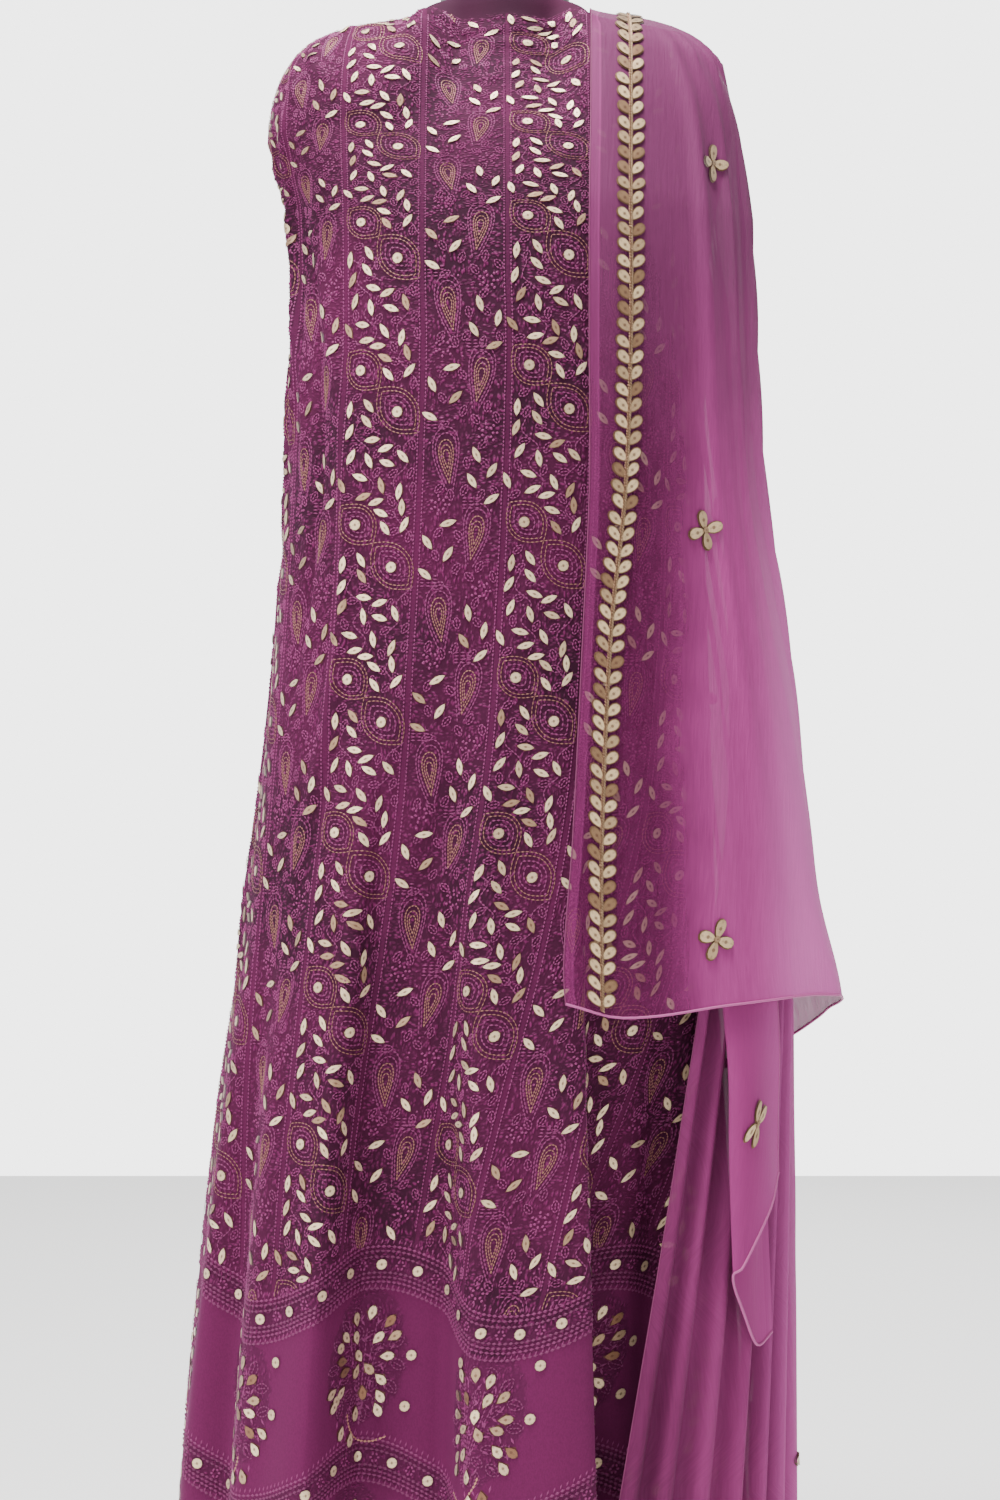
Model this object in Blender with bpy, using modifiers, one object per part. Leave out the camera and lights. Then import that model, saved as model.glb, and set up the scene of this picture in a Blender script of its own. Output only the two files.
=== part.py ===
"""Salwar kameez suit shown on a dress form: embroidered kameez cloth wrapped and pinned round the form,
a plain salwar under it, and a sheer dupatta laid over one shoulder. Metres, +Z up, the front faces -Y."""

import math

import bmesh
import bpy
from mathutils import Vector

# Walls and clearances, in metres
KAMEEZ_WALL = 0.0016
SALWAR_WALL = 0.0012
DUPATTA_WALL = 0.0010
TRIM_WALL = 0.0008
SEAM = 0.0004  # gap between pieces where they are pinned or sewn
REST = 0.0009  # gap between the cloth and the form that carries it

# The figure
ROUNDNESS = 2.3  # exponent of the body sections: 2 is an ellipse
CAP_BASE = 1.300  # height where the shoulders start to round over
KAMEEZ_HEM = 0.150
RIDGE_Y = 0.010  # the shoulder ridge runs a little behind the middle
RIDGE_END = 0.134
NECK_RADIUS = 0.053
NECK_EASE = 0.006  # room between the neck and the cloth's top edge
NECK_BASE, NECK_TOP = 1.4035, 1.462
FORM_BASE = 0.740
POLE_RADIUS = 0.0125
PLATE_RADIUS, PLATE_HEIGHT, HUB_HEIGHT = 0.165, 0.014, 0.046

SECTION_COLUMNS = ("height", "left", "right", "front", "back")
KAMEEZ_SECTIONS = (
    (1.300, 0.1930, 0.1840, 0.100, 0.085),
    (1.272, 0.1830, 0.1775, 0.112, 0.096),
    (1.240, 0.1735, 0.1710, 0.122, 0.103),
    (1.207, 0.1695, 0.1665, 0.128, 0.107),
    (1.174, 0.1685, 0.1640, 0.131, 0.108),
    (1.100, 0.1740, 0.1620, 0.135, 0.108),
    (1.010, 0.1780, 0.1620, 0.137, 0.109),
    (0.912, 0.1850, 0.1640, 0.139, 0.122),
    (0.780, 0.1970, 0.1680, 0.143, 0.134),
    (0.649, 0.2120, 0.1720, 0.148, 0.140),
    (0.518, 0.2290, 0.1770, 0.152, 0.145),
    (0.387, 0.2410, 0.1830, 0.156, 0.150),
    (0.256, 0.2525, 0.1900, 0.160, 0.157),
    (0.150, 0.2600, 0.1960, 0.164, 0.162),
)
FORM_SECTIONS = (
    (1.207, 0.1620, 0.1605, 0.1230, 0.1030),
    (1.174, 0.1540, 0.1540, 0.1230, 0.1030),
    (1.100, 0.1400, 0.1400, 0.1120, 0.0980),
    (1.010, 0.1200, 0.1200, 0.0900, 0.0880),
    (0.985, 0.1180, 0.1180, 0.0880, 0.0870),
    (0.912, 0.1300, 0.1300, 0.0980, 0.1000),
    (0.830, 0.1410, 0.1410, 0.1080, 0.1150),
    (0.780, 0.1430, 0.1430, 0.1100, 0.1180),
    (0.740, 0.1400, 0.1400, 0.1080, 0.1140),
)
SALWAR_SECTIONS = (
    (1.030, 0.1275, 0.1275, 0.0985, 0.0940),
    (0.985, 0.1215, 0.1215, 0.0915, 0.0905),
    (0.912, 0.1380, 0.1370, 0.1060, 0.1080),
    (0.850, 0.1480, 0.1460, 0.1150, 0.1200),
    (0.780, 0.1520, 0.1480, 0.1200, 0.1240),
    (0.720, 0.1520, 0.1460, 0.1180, 0.1200),
)
FRONT_FALL_SECTIONS = (
    (1.300, 0.1875, 0.1875, 0.1035, 0.0885),
    (1.272, 0.1885, 0.1885, 0.1160, 0.1020),
    (1.240, 0.1930, 0.1930, 0.1265, 0.1100),
    (1.174, 0.1965, 0.1965, 0.1365, 0.1180),
    (1.076, 0.2005, 0.2005, 0.1410, 0.1220),
    (1.010, 0.2055, 0.2055, 0.1425, 0.1250),
    (0.944, 0.2165, 0.2165, 0.1445, 0.1280),
    (0.846, 0.2335, 0.2335, 0.1510, 0.1340),
    (0.748, 0.2475, 0.2475, 0.1590, 0.1400),
    (0.682, 0.2565, 0.2565, 0.1650, 0.1460),
    (0.616, 0.2725, 0.2725, 0.1710, 0.1520),
    (0.560, 0.2790, 0.2790, 0.1750, 0.1550),
)
BACK_FALL_SECTIONS = (
    (1.300, 0.1875, 0.1875, 0.1035, 0.0885),
    (1.272, 0.1830, 0.1830, 0.1160, 0.1010),
    (1.240, 0.1795, 0.1795, 0.1255, 0.1090),
    (1.174, 0.1780, 0.1780, 0.1345, 0.1160),
    (1.076, 0.1795, 0.1795, 0.1370, 0.1190),
    (1.010, 0.1840, 0.1840, 0.1380, 0.1240),
    (0.944, 0.1920, 0.1920, 0.1400, 0.1330),
    (0.846, 0.2050, 0.2050, 0.1430, 0.1450),
    (0.748, 0.2140, 0.2140, 0.1470, 0.1560),
    (0.616, 0.2200, 0.2200, 0.1540, 0.1680),
    (0.518, 0.2200, 0.2200, 0.1600, 0.1760),
    (0.452, 0.2210, 0.2210, 0.1650, 0.1820),
    (0.321, 0.2230, 0.2230, 0.1750, 0.1900),
    (0.194, 0.2260, 0.2260, 0.1830, 0.1970),
    (0.045, 0.2300, 0.2300, 0.1880, 0.2030),
)

# Top edge of the kameez over the shoulders: distance from the middle, height in front, height behind
EDGE_COLUMNS = ("across", "front", "back")
TOP_EDGE = (
    (0.000, 1.4180, 1.4090),
    (0.047, 1.4125, 1.4075),
    (0.070, 1.4050, 1.4045),
    (0.110, 1.3990, 1.3990),
    (0.134, 1.3920, 1.3920),
)

# Flutes of the skirt, broad faces with steep flanks: angle from the front centre, depth at the hem
# (+ out, - in), height where the flute fades, and how many columns of the sheet reach the next row
FOLD_COLUMNS = ("angle", "depth", "fades_at", "columns")
FRONT_FOLDS = (
    (-115, -0.012, 0.86, 1),
    (-109, -0.012, 0.84, 2),
    (-94, 0.006, 0.80, 2),
    (-72, 0.008, 0.80, 2),
    (-56, -0.018, 0.82, 1),
    (-49, 0.017, 0.84, 3),
    (-31, 0.021, 0.86, 2),
    (-26, -0.024, 0.90, 2),
    (-10, -0.026, 0.92, 2),
    (-3, 0.024, 0.92, 3),
    (15, 0.026, 0.90, 2),
    (19, -0.022, 0.86, 3),
    (40, -0.024, 0.80, 2),
    (58, 0.004, 0.72, 2),
    (76, -0.012, 0.72, 2),
    (95, 0.004, 0.70, 2),
    (109, -0.012, 0.84, 1),
    (115, -0.012, 0.86, 0),
)
BACK_FOLDS = (
    (115, -0.012, 0.86, 1),
    (121, -0.012, 0.86, 2),
    (132, 0.018, 0.94, 2),
    (147, 0.020, 0.95, 2),
    (158, -0.018, 0.95, 2),
    (172, -0.016, 0.98, 2),
    (184, 0.022, 1.00, 2),
    (202, 0.020, 0.98, 2),
    (212, -0.018, 0.94, 2),
    (227, 0.018, 0.92, 2),
    (239, -0.012, 0.86, 1),
    (245, -0.012, 0.86, 0),
)

# The dupatta: distance of its long edges from the middle, how low its hem hangs, and its pleats behind
EDGE_LINE_COLUMNS = ("height", "front_edge", "lace", "back_start", "back_edge", "back_lace")
DUPATTA_LINES = (
    (1.405, 0.0700, 0.1000, 90, 0.070, 0.100),
    (1.300, 0.0670, 0.0985, 115, 0.068, 0.098),
    (1.240, 0.0655, 0.0975, 115, 0.066, 0.096),
    (1.130, 0.0650, 0.0970, 84, 0.065, 0.096),
    (1.010, 0.0650, 0.0925, 70, 0.066, 0.097),
    (0.900, 0.0600, 0.0810, 60, 0.068, 0.098),
    (0.736, 0.0515, 0.0735, 50, 0.072, 0.102),
    (0.640, 0.0445, 0.0735, 45, 0.074, 0.104),
    (0.580, 0.0480, 0.0740, 42, 0.076, 0.106),
    (0.190, 0.0480, 0.0740, 20, 0.084, 0.114),
    (0.045, 0.0480, 0.0740, 16, 0.088, 0.118),
)
HEM_COLUMNS = ("across", "front_fall", "back_fall")
DUPATTA_HEMS = (
    (0.00, 0.612, 0.050),
    (0.07, 0.601, 0.046),
    (0.25, 0.609, 0.045),
    (0.50, 0.611, 0.050),
    (0.78, 0.592, 0.056),
    (1.00, 0.552, 0.048),
)
FALL_LIFT = 0.0036
PLEATS = 7
LACE_WIDTH = 0.024
CORNER_COLUMNS = ("turn", "angle", "out", "hem")
CORNER_PATH = (  # a hairpin of cloth round the back fall: its front leaf, its turn, and its back leaf
    (0.00, 58.0, 0.031, 0.476),
    (0.22, 52.0, 0.033, 0.446),
    (0.42, 45.0, 0.032, 0.408),
    (0.50, 43.0, 0.027, 0.402),
    (0.58, 45.0, 0.022, 0.385),
    (0.80, 52.0, 0.021, 0.345),
    (1.00, 57.5, 0.020, 0.352),
)
CORNER_HELD = 0.965  # share of the way down the front fall

# The salwar's legs. The form's pole runs down inside one of them, so the crotch stands beside it
CROTCH_X = -0.036
CROTCH_TOP, CROTCH_LOW = 0.715, 0.610
WAISTBAND_TOP, WAISTBAND_LOW = 1.026, 0.990
WAISTBAND_OUT = SALWAR_WALL / 2 + SEAM
CUFF_TOP, CUFF_LOW = 0.098, 0.058
LEG_COLUMNS = ("height", "left_middle", "right_middle", "wide", "deep")
LEGS = (
    (0.720, -0.106, 0.034, 0.066, 0.100),
    (0.560, -0.104, 0.034, 0.064, 0.090),
    (0.400, -0.100, 0.028, 0.058, 0.078),
    (0.200, -0.096, 0.022, 0.052, 0.064),
    (0.102, -0.094, 0.018, 0.047, 0.056),
    (0.050, -0.094, 0.018, 0.047, 0.056),
)

# Four-petalled applique flowers: which fall, share of the way across, share of the way down
FLOWERS = (
    ("front", 0.42, 0.40),
    ("front", 0.30, 0.70),
    ("front", 0.24, 0.955),
    ("front", 0.80, 0.62),
    ("corner", 0.20, 0.60),
)
FLOWER_RADIUS = 0.015

SIDE = math.radians(115)  # the front cloth ends behind each side
CAP_ROWS = (-1.0, -0.84, -0.68, -0.52, -0.36, -0.18, 0.0)
KAMEEZ_DROPS = (0.03, 0.06, 0.10, 0.15, 0.21, 0.29, 0.39, 0.50, 0.61, 0.72, 0.83, 0.94, 1.05, 1.150)
FORM_DROPS = (0.03, 0.06, 0.10, 0.15, 0.21, 0.27, 0.315, 0.39, 0.47, 0.52, 0.56)
FALL_SHARES = (0.035, 0.08, 0.14, 0.22, 0.31, 0.41, 0.51, 0.61, 0.71, 0.81, 0.905, 1.0)


def table_value(rows, columns, name, at):
    """A column's value between the rows, on a smooth curve through them."""
    column = columns.index(name)
    rows = sorted(rows)
    if at <= rows[0][0]:
        return rows[0][column]
    if at >= rows[-1][0]:
        return rows[-1][column]
    i = next(k for k in range(len(rows) - 1) if rows[k + 1][0] >= at)

    def slope(k):
        low, high = max(k - 1, 0), min(k + 1, len(rows) - 1)
        return (rows[high][column] - rows[low][column]) / (rows[high][0] - rows[low][0])

    span = rows[i + 1][0] - rows[i][0]
    t = (at - rows[i][0]) / span
    return (
        (2 * t**3 - 3 * t**2 + 1) * rows[i][column]
        + (t**3 - 2 * t**2 + t) * span * slope(i)
        + (3 * t**2 - 2 * t**3) * rows[i + 1][column]
        + (t**3 - t**2) * span * slope(i + 1)
    )


def smoothstep(low, high, value):
    t = min(1.0, max(0.0, (value - low) / (high - low)))
    return t * t * (3 - 2 * t)


def mix(a, b, share):
    return a + (b - a) * share


def signed_power(value, power):
    return math.copysign(abs(value) ** power, value)


def ring_point(sections, height, angle, out=0.0):
    """A point on a body section. The angle runs from the front centre towards +X, and out moves it outwards."""
    size = {name: table_value(sections, SECTION_COLUMNS, name, height) for name in SECTION_COLUMNS[1:]}
    across = signed_power(math.sin(angle), 2 / ROUNDNESS)
    ahead = signed_power(math.cos(angle), 2 / ROUNDNESS)
    wide = size["right"] if across > 0 else size["left"]
    deep = size["front"] if ahead > 0 else size["back"]
    normal = Vector((across / wide, -ahead / deep)).normalized()
    return across * wide + out * normal.x, -ahead * deep + out * normal.y


def top_edge_point(angle, behind, lift):
    """Where a column of the cloth ends on the shoulder ridge, or at the neck."""
    x = signed_power(math.sin(angle), 2 / ROUNDNESS) * RIDGE_END
    reach = math.sqrt(max(0.0, (NECK_RADIUS + NECK_EASE) ** 2 - x**2)) + SEAM / 2
    z = table_value(TOP_EDGE, EDGE_COLUMNS, "back" if behind else "front", abs(x))
    return x, RIDGE_Y + (reach if behind else -reach), z + lift


def body_point(sections, angle, behind, drop, out=0.0, lift=0.0):
    """A point of cloth on the figure. A drop from 0 up is the distance below the shoulder cap's base;
    from 0 down to -1 it is the share of the way up the cap to the top edge."""
    if drop >= 0:
        return Vector((*ring_point(sections, CAP_BASE - drop, angle, out), CAP_BASE - drop))
    foot_x, foot_y = ring_point(sections, CAP_BASE, angle, out)
    top_x, top_y, top_z = top_edge_point(angle, behind, lift)
    turn = -drop * math.pi / 2
    shoulder = smoothstep(0.030, 0.062, abs(top_x))
    rise = mix(-drop, math.sin(turn), shoulder)
    inwards = mix(math.sin(turn), 1 - math.cos(turn), shoulder)
    return Vector((mix(foot_x, top_x, inwards), mix(foot_y, top_y, inwards), mix(CAP_BASE, top_z, rise)))


def side_angle(drop, behind):
    """The side seam runs down behind the side, and starts on the end of the shoulder ridge. The sheet
    behind it starts one small gap later than the sheet in front of it ends."""
    half_gap = SEAM / 2 / 0.11
    return mix(SIDE, math.pi / 2, max(0.0, -drop) ** 2) + (half_gap if behind else -half_gap)


def skirt_fold(fold, drop):
    """How far a flute pushes the kameez out at a drop."""
    return fold[1] * smoothstep(fold[2], KAMEEZ_HEM, CAP_BASE - drop) ** 0.85 if drop > 0 else 0.0


def fold_columns(folds):
    """The sheet's columns: each as the two folds it lies between, and its share of the way."""
    made = []
    for near, far in zip(folds, folds[1:]):
        made += [(near, far, k / near[3]) for k in range(near[3])]
    return made + [(folds[-2], folds[-1], 1.0)]


def new_piece(name, shape, material, wall=None):
    """An object from a finished bmesh. An open sheet gets its wall from Solidify."""
    mesh = bpy.data.meshes.new(name)
    shape.to_mesh(mesh)
    shape.free()
    made = bpy.data.objects.new(name, mesh)
    suit.objects.link(made)
    made.data.materials.append(material)
    if wall:
        solidify = made.modifiers.new("Wall", "SOLIDIFY")
        solidify.thickness = wall
        solidify.offset = 0
        solidify.use_even_offset = True
        solidify.use_quality_normals = True
    made.data.shade_smooth()
    made.data.set_sharp_from_angle(angle=math.radians(50))
    return made


def sheet(columns, rows, place, closed=False):
    """A grid whose vertices are placed by place(column, row). A closed one is sewn to itself."""
    grid = bmesh.new()
    bmesh.ops.create_grid(grid, x_segments=columns, y_segments=rows, size=0.5)
    for vertex in grid.verts:
        column, row = round((vertex.co.x + 0.5) * columns), round((0.5 - vertex.co.y) * rows)
        vertex.co = place(column, row)
    if closed:
        bmesh.ops.remove_doubles(grid, verts=grid.verts, dist=1e-5)
    bmesh.ops.recalc_face_normals(grid, faces=grid.faces)
    return grid


def turned(name, profile, material, segments=40):
    """A solid of revolution round the vertical axis, from its outline listed from the foot up."""
    shape = bmesh.new()
    outline = [shape.verts.new((radius, 0, height)) for radius, height in profile]
    line = [shape.edges.new(pair) for pair in zip(outline, outline[1:])]
    bmesh.ops.spin(
        shape, geom=outline + line, axis=(0, 0, 1), cent=(0, 0, 0), angle=2 * math.pi, steps=segments
    )
    bmesh.ops.remove_doubles(shape, verts=shape.verts, dist=1e-5)
    bmesh.ops.recalc_face_normals(shape, faces=shape.faces)
    return new_piece(name, shape, material)


def on_sheet(place, columns, rows, across, down, out):
    """A point that lies on the flat faces of a placed sheet, moved out along them. Both shares are 0 to 1."""
    i = min(int(across * columns), columns - 1)
    j = min(int(down * rows), rows - 1)
    u, v = across * columns - i, down * rows - j
    near, far = place(i, j), place(i + 1, j)
    near_low, far_low = place(i, j + 1), place(i + 1, j + 1)
    point = near.lerp(far, u).lerp(near_low.lerp(far_low, u), v)
    normal = (far - near + far_low - near_low).cross(near - near_low + far - far_low).normalized()
    return point + out * normal


def make_material(name, colour, roughness, metallic=0.0, alpha=1.0):
    made = bpy.data.materials.new(name)
    made.use_nodes = True
    shader = made.node_tree.nodes["Principled BSDF"]
    shader.inputs["Base Color"].default_value = (*colour, 1)
    shader.inputs["Roughness"].default_value = roughness
    shader.inputs["Metallic"].default_value = metallic
    shader.inputs["Alpha"].default_value = alpha
    return made


# Kameez: two sheets that meet on the shoulder ridges and behind the sides


def build_kameez(name, folds, behind, material):
    columns = fold_columns(folds)
    drops = CAP_ROWS + KAMEEZ_DROPS
    first, last = folds[0][0], folds[-1][0]

    def place(column, row):
        near, far, share = columns[column]
        drop = drops[row]
        across = (mix(near[0], far[0], share) - first) / (last - first)
        side = side_angle(drop, behind)
        angle = mix(side, 2 * math.pi - side, across) if behind else mix(-side, side, across)
        ease = (1 - math.cos(math.pi * share)) / 2
        push = mix(skirt_fold(near, drop), skirt_fold(far, drop), ease)
        return body_point(KAMEEZ_SECTIONS, angle, behind, drop, push)

    return new_piece(name, sheet(len(columns) - 1, len(drops) - 1, place), material, KAMEEZ_WALL)


# Dress form: torso, neck, pole and base


FORM_COLUMNS = len(fold_columns(FRONT_FOLDS)) + len(fold_columns(BACK_FOLDS)) - 2


def form_angle(column, drop):
    """The form has the cloth's own columns, so that the cloth lies flat on it all round."""
    front, back = fold_columns(FRONT_FOLDS), fold_columns(BACK_FOLDS)
    near, far, share = (front + back[1:-1] + front[:1])[column]
    behind = len(front) <= column < FORM_COLUMNS
    degrees = mix(near[0], far[0], share)
    side, spread = math.degrees(SIDE), math.degrees(mix(SIDE, math.pi / 2, max(0.0, -drop) ** 2))
    if behind:
        return math.radians(180 + (degrees - 180) * (180 - spread) / (180 - side)), True
    return math.radians(degrees * spread / side), False


def build_torso(material):
    inset = KAMEEZ_WALL / 2 + REST
    carried = tuple((row[0], *(size - inset for size in row[1:])) for row in KAMEEZ_SECTIONS if row[0] >= 1.24)
    sections = carried + FORM_SECTIONS
    drops = CAP_ROWS + FORM_DROPS

    def place(column, row):
        drop = drops[row]
        angle, behind = form_angle(column, drop)
        return body_point(sections if drop >= 0 else KAMEEZ_SECTIONS, angle, behind, drop)

    shape = sheet(FORM_COLUMNS, len(drops) - 1, place, closed=True)
    shape.normal_update()
    carrying = [(v, v.normal.copy()) for v in shape.verts if v.co.z > CAP_BASE + 1e-4]
    for vertex, normal in carrying:
        vertex.co -= normal * inset
        ridge = abs(vertex.co.y - RIDGE_Y) < 0.004 and abs(vertex.co.x) > NECK_RADIUS
        if ridge:  # the two sides of the shoulder stay a little apart, and the top face joins them
            vertex.co.y = RIDGE_Y + math.copysign(0.0012, vertex.co.y - RIDGE_Y)
        if math.hypot(vertex.co.x, vertex.co.y - RIDGE_Y) < NECK_RADIUS + 0.026:  # a flat seat for the neck
            vertex.co.z = min(vertex.co.z, NECK_BASE - SEAM)
    bmesh.ops.holes_fill(shape, edges=[e for e in shape.edges if e.is_boundary])
    bmesh.ops.recalc_face_normals(shape, faces=shape.faces)
    return new_piece("form_torso", shape, material)


# Dupatta: the front fall, the back fall, the loose corner, the lace along the long edge, and the flowers


def fall_drop(row, hem):
    shares = CAP_ROWS + FALL_SHARES
    return shares[row] if shares[row] <= 0 else shares[row] * (CAP_BASE - hem)


def height_at(drop):
    return CAP_BASE - drop if drop >= 0 else mix(CAP_BASE, 1.405, -drop)


def dupatta_line(name, drop):
    return table_value(DUPATTA_LINES, EDGE_LINE_COLUMNS, name, height_at(drop))


def angle_at_x(sections, distance, behind, drop):
    """The angle where the cloth is that far from the middle, by halving."""
    low, high = 0.0, math.pi / 2
    for _ in range(24):
        middle = (low + high) / 2
        angle = math.pi - middle if behind else middle
        if body_point(sections, angle, behind, drop, 0, FALL_LIFT).x < distance:
            low = middle
        else:
            high = middle
    return math.pi - low if behind else low


FRONT_FALL_COLUMNS, BACK_FALL_COLUMNS, CORNER_SHEET_COLUMNS, CORNER_ROWS = 18, 34, 10, 8
FALL_ROWS = len(CAP_ROWS + FALL_SHARES) - 1


def front_fall_point(column, row):
    across = column / FRONT_FALL_COLUMNS
    drop = fall_drop(row, table_value(DUPATTA_HEMS, HEM_COLUMNS, "front_fall", across))
    start = angle_at_x(FRONT_FALL_SECTIONS, dupatta_line("front_edge", drop), False, drop)
    end = side_angle(drop, False) + math.radians(12) * smoothstep(0.30, 0.70, drop)
    ripple = 0.0025 * math.sin(9 * across + 2.0) * smoothstep(0.15, 0.55, drop) * smoothstep(0.1, 0.5, across)
    return body_point(FRONT_FALL_SECTIONS, mix(start, end, across), False, drop, ripple, FALL_LIFT)


def back_fall_point(column, row):
    across = column / BACK_FALL_COLUMNS
    drop = fall_drop(row, table_value(DUPATTA_HEMS, HEM_COLUMNS, "back_fall", across))
    start = side_angle(drop, True) + math.radians(dupatta_line("back_start", max(drop, 0)) - 115)
    end = angle_at_x(BACK_FALL_SECTIONS, dupatta_line("back_edge", drop), True, drop)
    depth = 0.006 * smoothstep(0.06, 0.20, drop) + 0.008 * smoothstep(0.30, 0.80, drop)
    wave = math.sin(2 * math.pi * PLEATS * (across + 0.03 * math.sin(5 * across)))
    depth *= mix(0.45, 1.0, smoothstep(0.0, 0.25, across)) * mix(0.12, 1.0, smoothstep(0.88, 0.68, across))
    push = depth * (wave + 0.45) * 0.7
    return body_point(BACK_FALL_SECTIONS, mix(start, end, across), True, drop, push, FALL_LIFT)


def across_at(place, columns, rows, distance, down, inner, outer):
    """The share across a sheet where it lies that far from the middle, by halving."""
    for _ in range(22):
        middle = (inner + outer) / 2
        if on_sheet(place, columns, rows, middle, down, 0).x < distance:
            inner = middle
        else:
            outer = middle
    return inner


def corner_point(column, row):
    """The loose corner is held inside the front fall's hem, and hangs clear of the back fall below it."""
    turn, down = column / CORNER_SHEET_COLUMNS, row / CORNER_ROWS
    angle, out, hem = (table_value(CORNER_PATH, CORNER_COLUMNS, name, turn) for name in CORNER_COLUMNS[1:])
    fall = front_fall_point, FRONT_FALL_COLUMNS, FALL_ROWS
    distance = mix(0.168, 0.213, min(1.0, abs(turn - 0.5) / 0.45))
    inside = DUPATTA_WALL + SEAM + 0.009 * smoothstep(0.42, 0.62, turn)
    held = on_sheet(*fall, across_at(*fall, distance, CORNER_HELD, 0.1, 0.8), CORNER_HELD, -inside)
    height = mix(held.z, hem, down)
    hanging = Vector((*ring_point(BACK_FALL_SECTIONS, height, math.radians(angle), out), height))
    return Vector((held.x, held.y, height)).lerp(hanging, smoothstep(0.0, 0.5, down))


FALLS = {
    "front": (front_fall_point, FRONT_FALL_COLUMNS, FALL_ROWS),
    "back": (back_fall_point, BACK_FALL_COLUMNS, FALL_ROWS),
    "corner": (corner_point, CORNER_SHEET_COLUMNS, CORNER_ROWS),
}


def build_lace(name, fall, line, material):
    """A scalloped strip that follows a fall's long edge, on the dupatta line of that name."""
    place, columns, rows = FALLS[fall]
    scallops, across_cells = 3 * rows, 3
    out = DUPATTA_WALL / 2 + SEAM + TRIM_WALL / 2 + (0.0007 if fall == "back" else 0.0003)
    edge = columns if fall == "back" else 0

    def lace_point(column, row):
        down = min(0.996, max(0.004, row / scallops))
        j = min(int(down * rows), rows - 1)
        height = mix(place(edge, j).z, place(edge, j + 1).z, down * rows - j)
        half = LACE_WIDTH / 2 * (1.0 if row % 3 else 0.72)
        aside = half * (2 * column / across_cells - 1) * (-1 if fall == "back" else 1)
        distance = table_value(DUPATTA_LINES, EDGE_LINE_COLUMNS, line, height) + aside
        ends = (1.0, 0.6) if fall == "back" else (0.0, 0.75)
        across = across_at(place, columns, rows, distance, down, *ends)
        return on_sheet(place, columns, rows, across, down, out)

    return new_piece(name, sheet(across_cells, scallops, lace_point), material, TRIM_WALL)


def build_flower(name, fall, across, down, material):
    """A flat flower of four petals, laid on the cloth."""
    place, columns, rows = FALLS[fall]
    out = DUPATTA_WALL / 2 + SEAM + TRIM_WALL / 2 + 0.0005
    step = 0.01
    middle = on_sheet(place, columns, rows, across, down, out)
    wide = (on_sheet(place, columns, rows, across + step, down, out) - middle).length / step
    tall = (on_sheet(place, columns, rows, across, down - step, out) - middle).length / step
    shape = bmesh.new()
    bmesh.ops.create_circle(shape, cap_ends=True, cap_tris=True, segments=32, radius=1.0)
    for vertex in shape.verts:
        turn = math.atan2(vertex.co.y, vertex.co.x)
        reach = FLOWER_RADIUS * vertex.co.length * (0.34 + 0.66 * abs(math.sin(2 * turn)) ** 0.8)
        side, up = reach * math.cos(turn), reach * math.sin(turn)
        vertex.co = on_sheet(place, columns, rows, across + side / wide, down - up / tall, out)
    bmesh.ops.recalc_face_normals(shape, faces=shape.faces)
    return new_piece(name, shape, material, TRIM_WALL)


# Salwar: waistband, two legs with gathers, and cuffs


def leg_ring(side, height, share):
    """A point on one leg: from the front seam round the outer side to the back seam."""
    name = "left_middle" if side < 0 else "right_middle"
    middle, wide, deep = (table_value(LEGS, LEG_COLUMNS, column, height) for column in (name, "wide", "deep"))
    gap = 0.5 * SEAM / wide
    turn = mix(-math.pi + gap, math.pi - gap, share)
    tube = Vector((middle + side * wide * math.cos(turn), deep * math.sin(turn), height))
    if height <= CROTCH_LOW:
        return tube
    level = max(height, CROTCH_TOP)
    seam_x = CROTCH_X * (1 - smoothstep(CROTCH_TOP, WAISTBAND_LOW, level)) + side * SEAM / 2
    wide_here = table_value(SALWAR_SECTIONS, SECTION_COLUMNS, "left" if seam_x < 0 else "right", level)
    start = math.copysign(math.asin((abs(seam_x) / wide_here) ** (ROUNDNESS / 2)), seam_x)
    around = start + (side * math.pi - 2 * start) * share
    gathers = 0.0035 * math.sin(math.pi * 8 * share) ** 2 * smoothstep(WAISTBAND_LOW, 0.93, height)
    x, y = ring_point(SALWAR_SECTIONS, level, around, gathers)
    hips = Vector((x, y, height))
    return hips.lerp(tube, smoothstep(CROTCH_TOP, CROTCH_LOW, height))


LEG_HEIGHTS = (0.9896, 0.965, 0.93, 0.88, 0.82, 0.76, 0.715, 0.68, 0.645, 0.61, 0.52, 0.40, 0.28, 0.18, 0.0984)
LEG_SHEET_COLUMNS = 16


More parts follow.
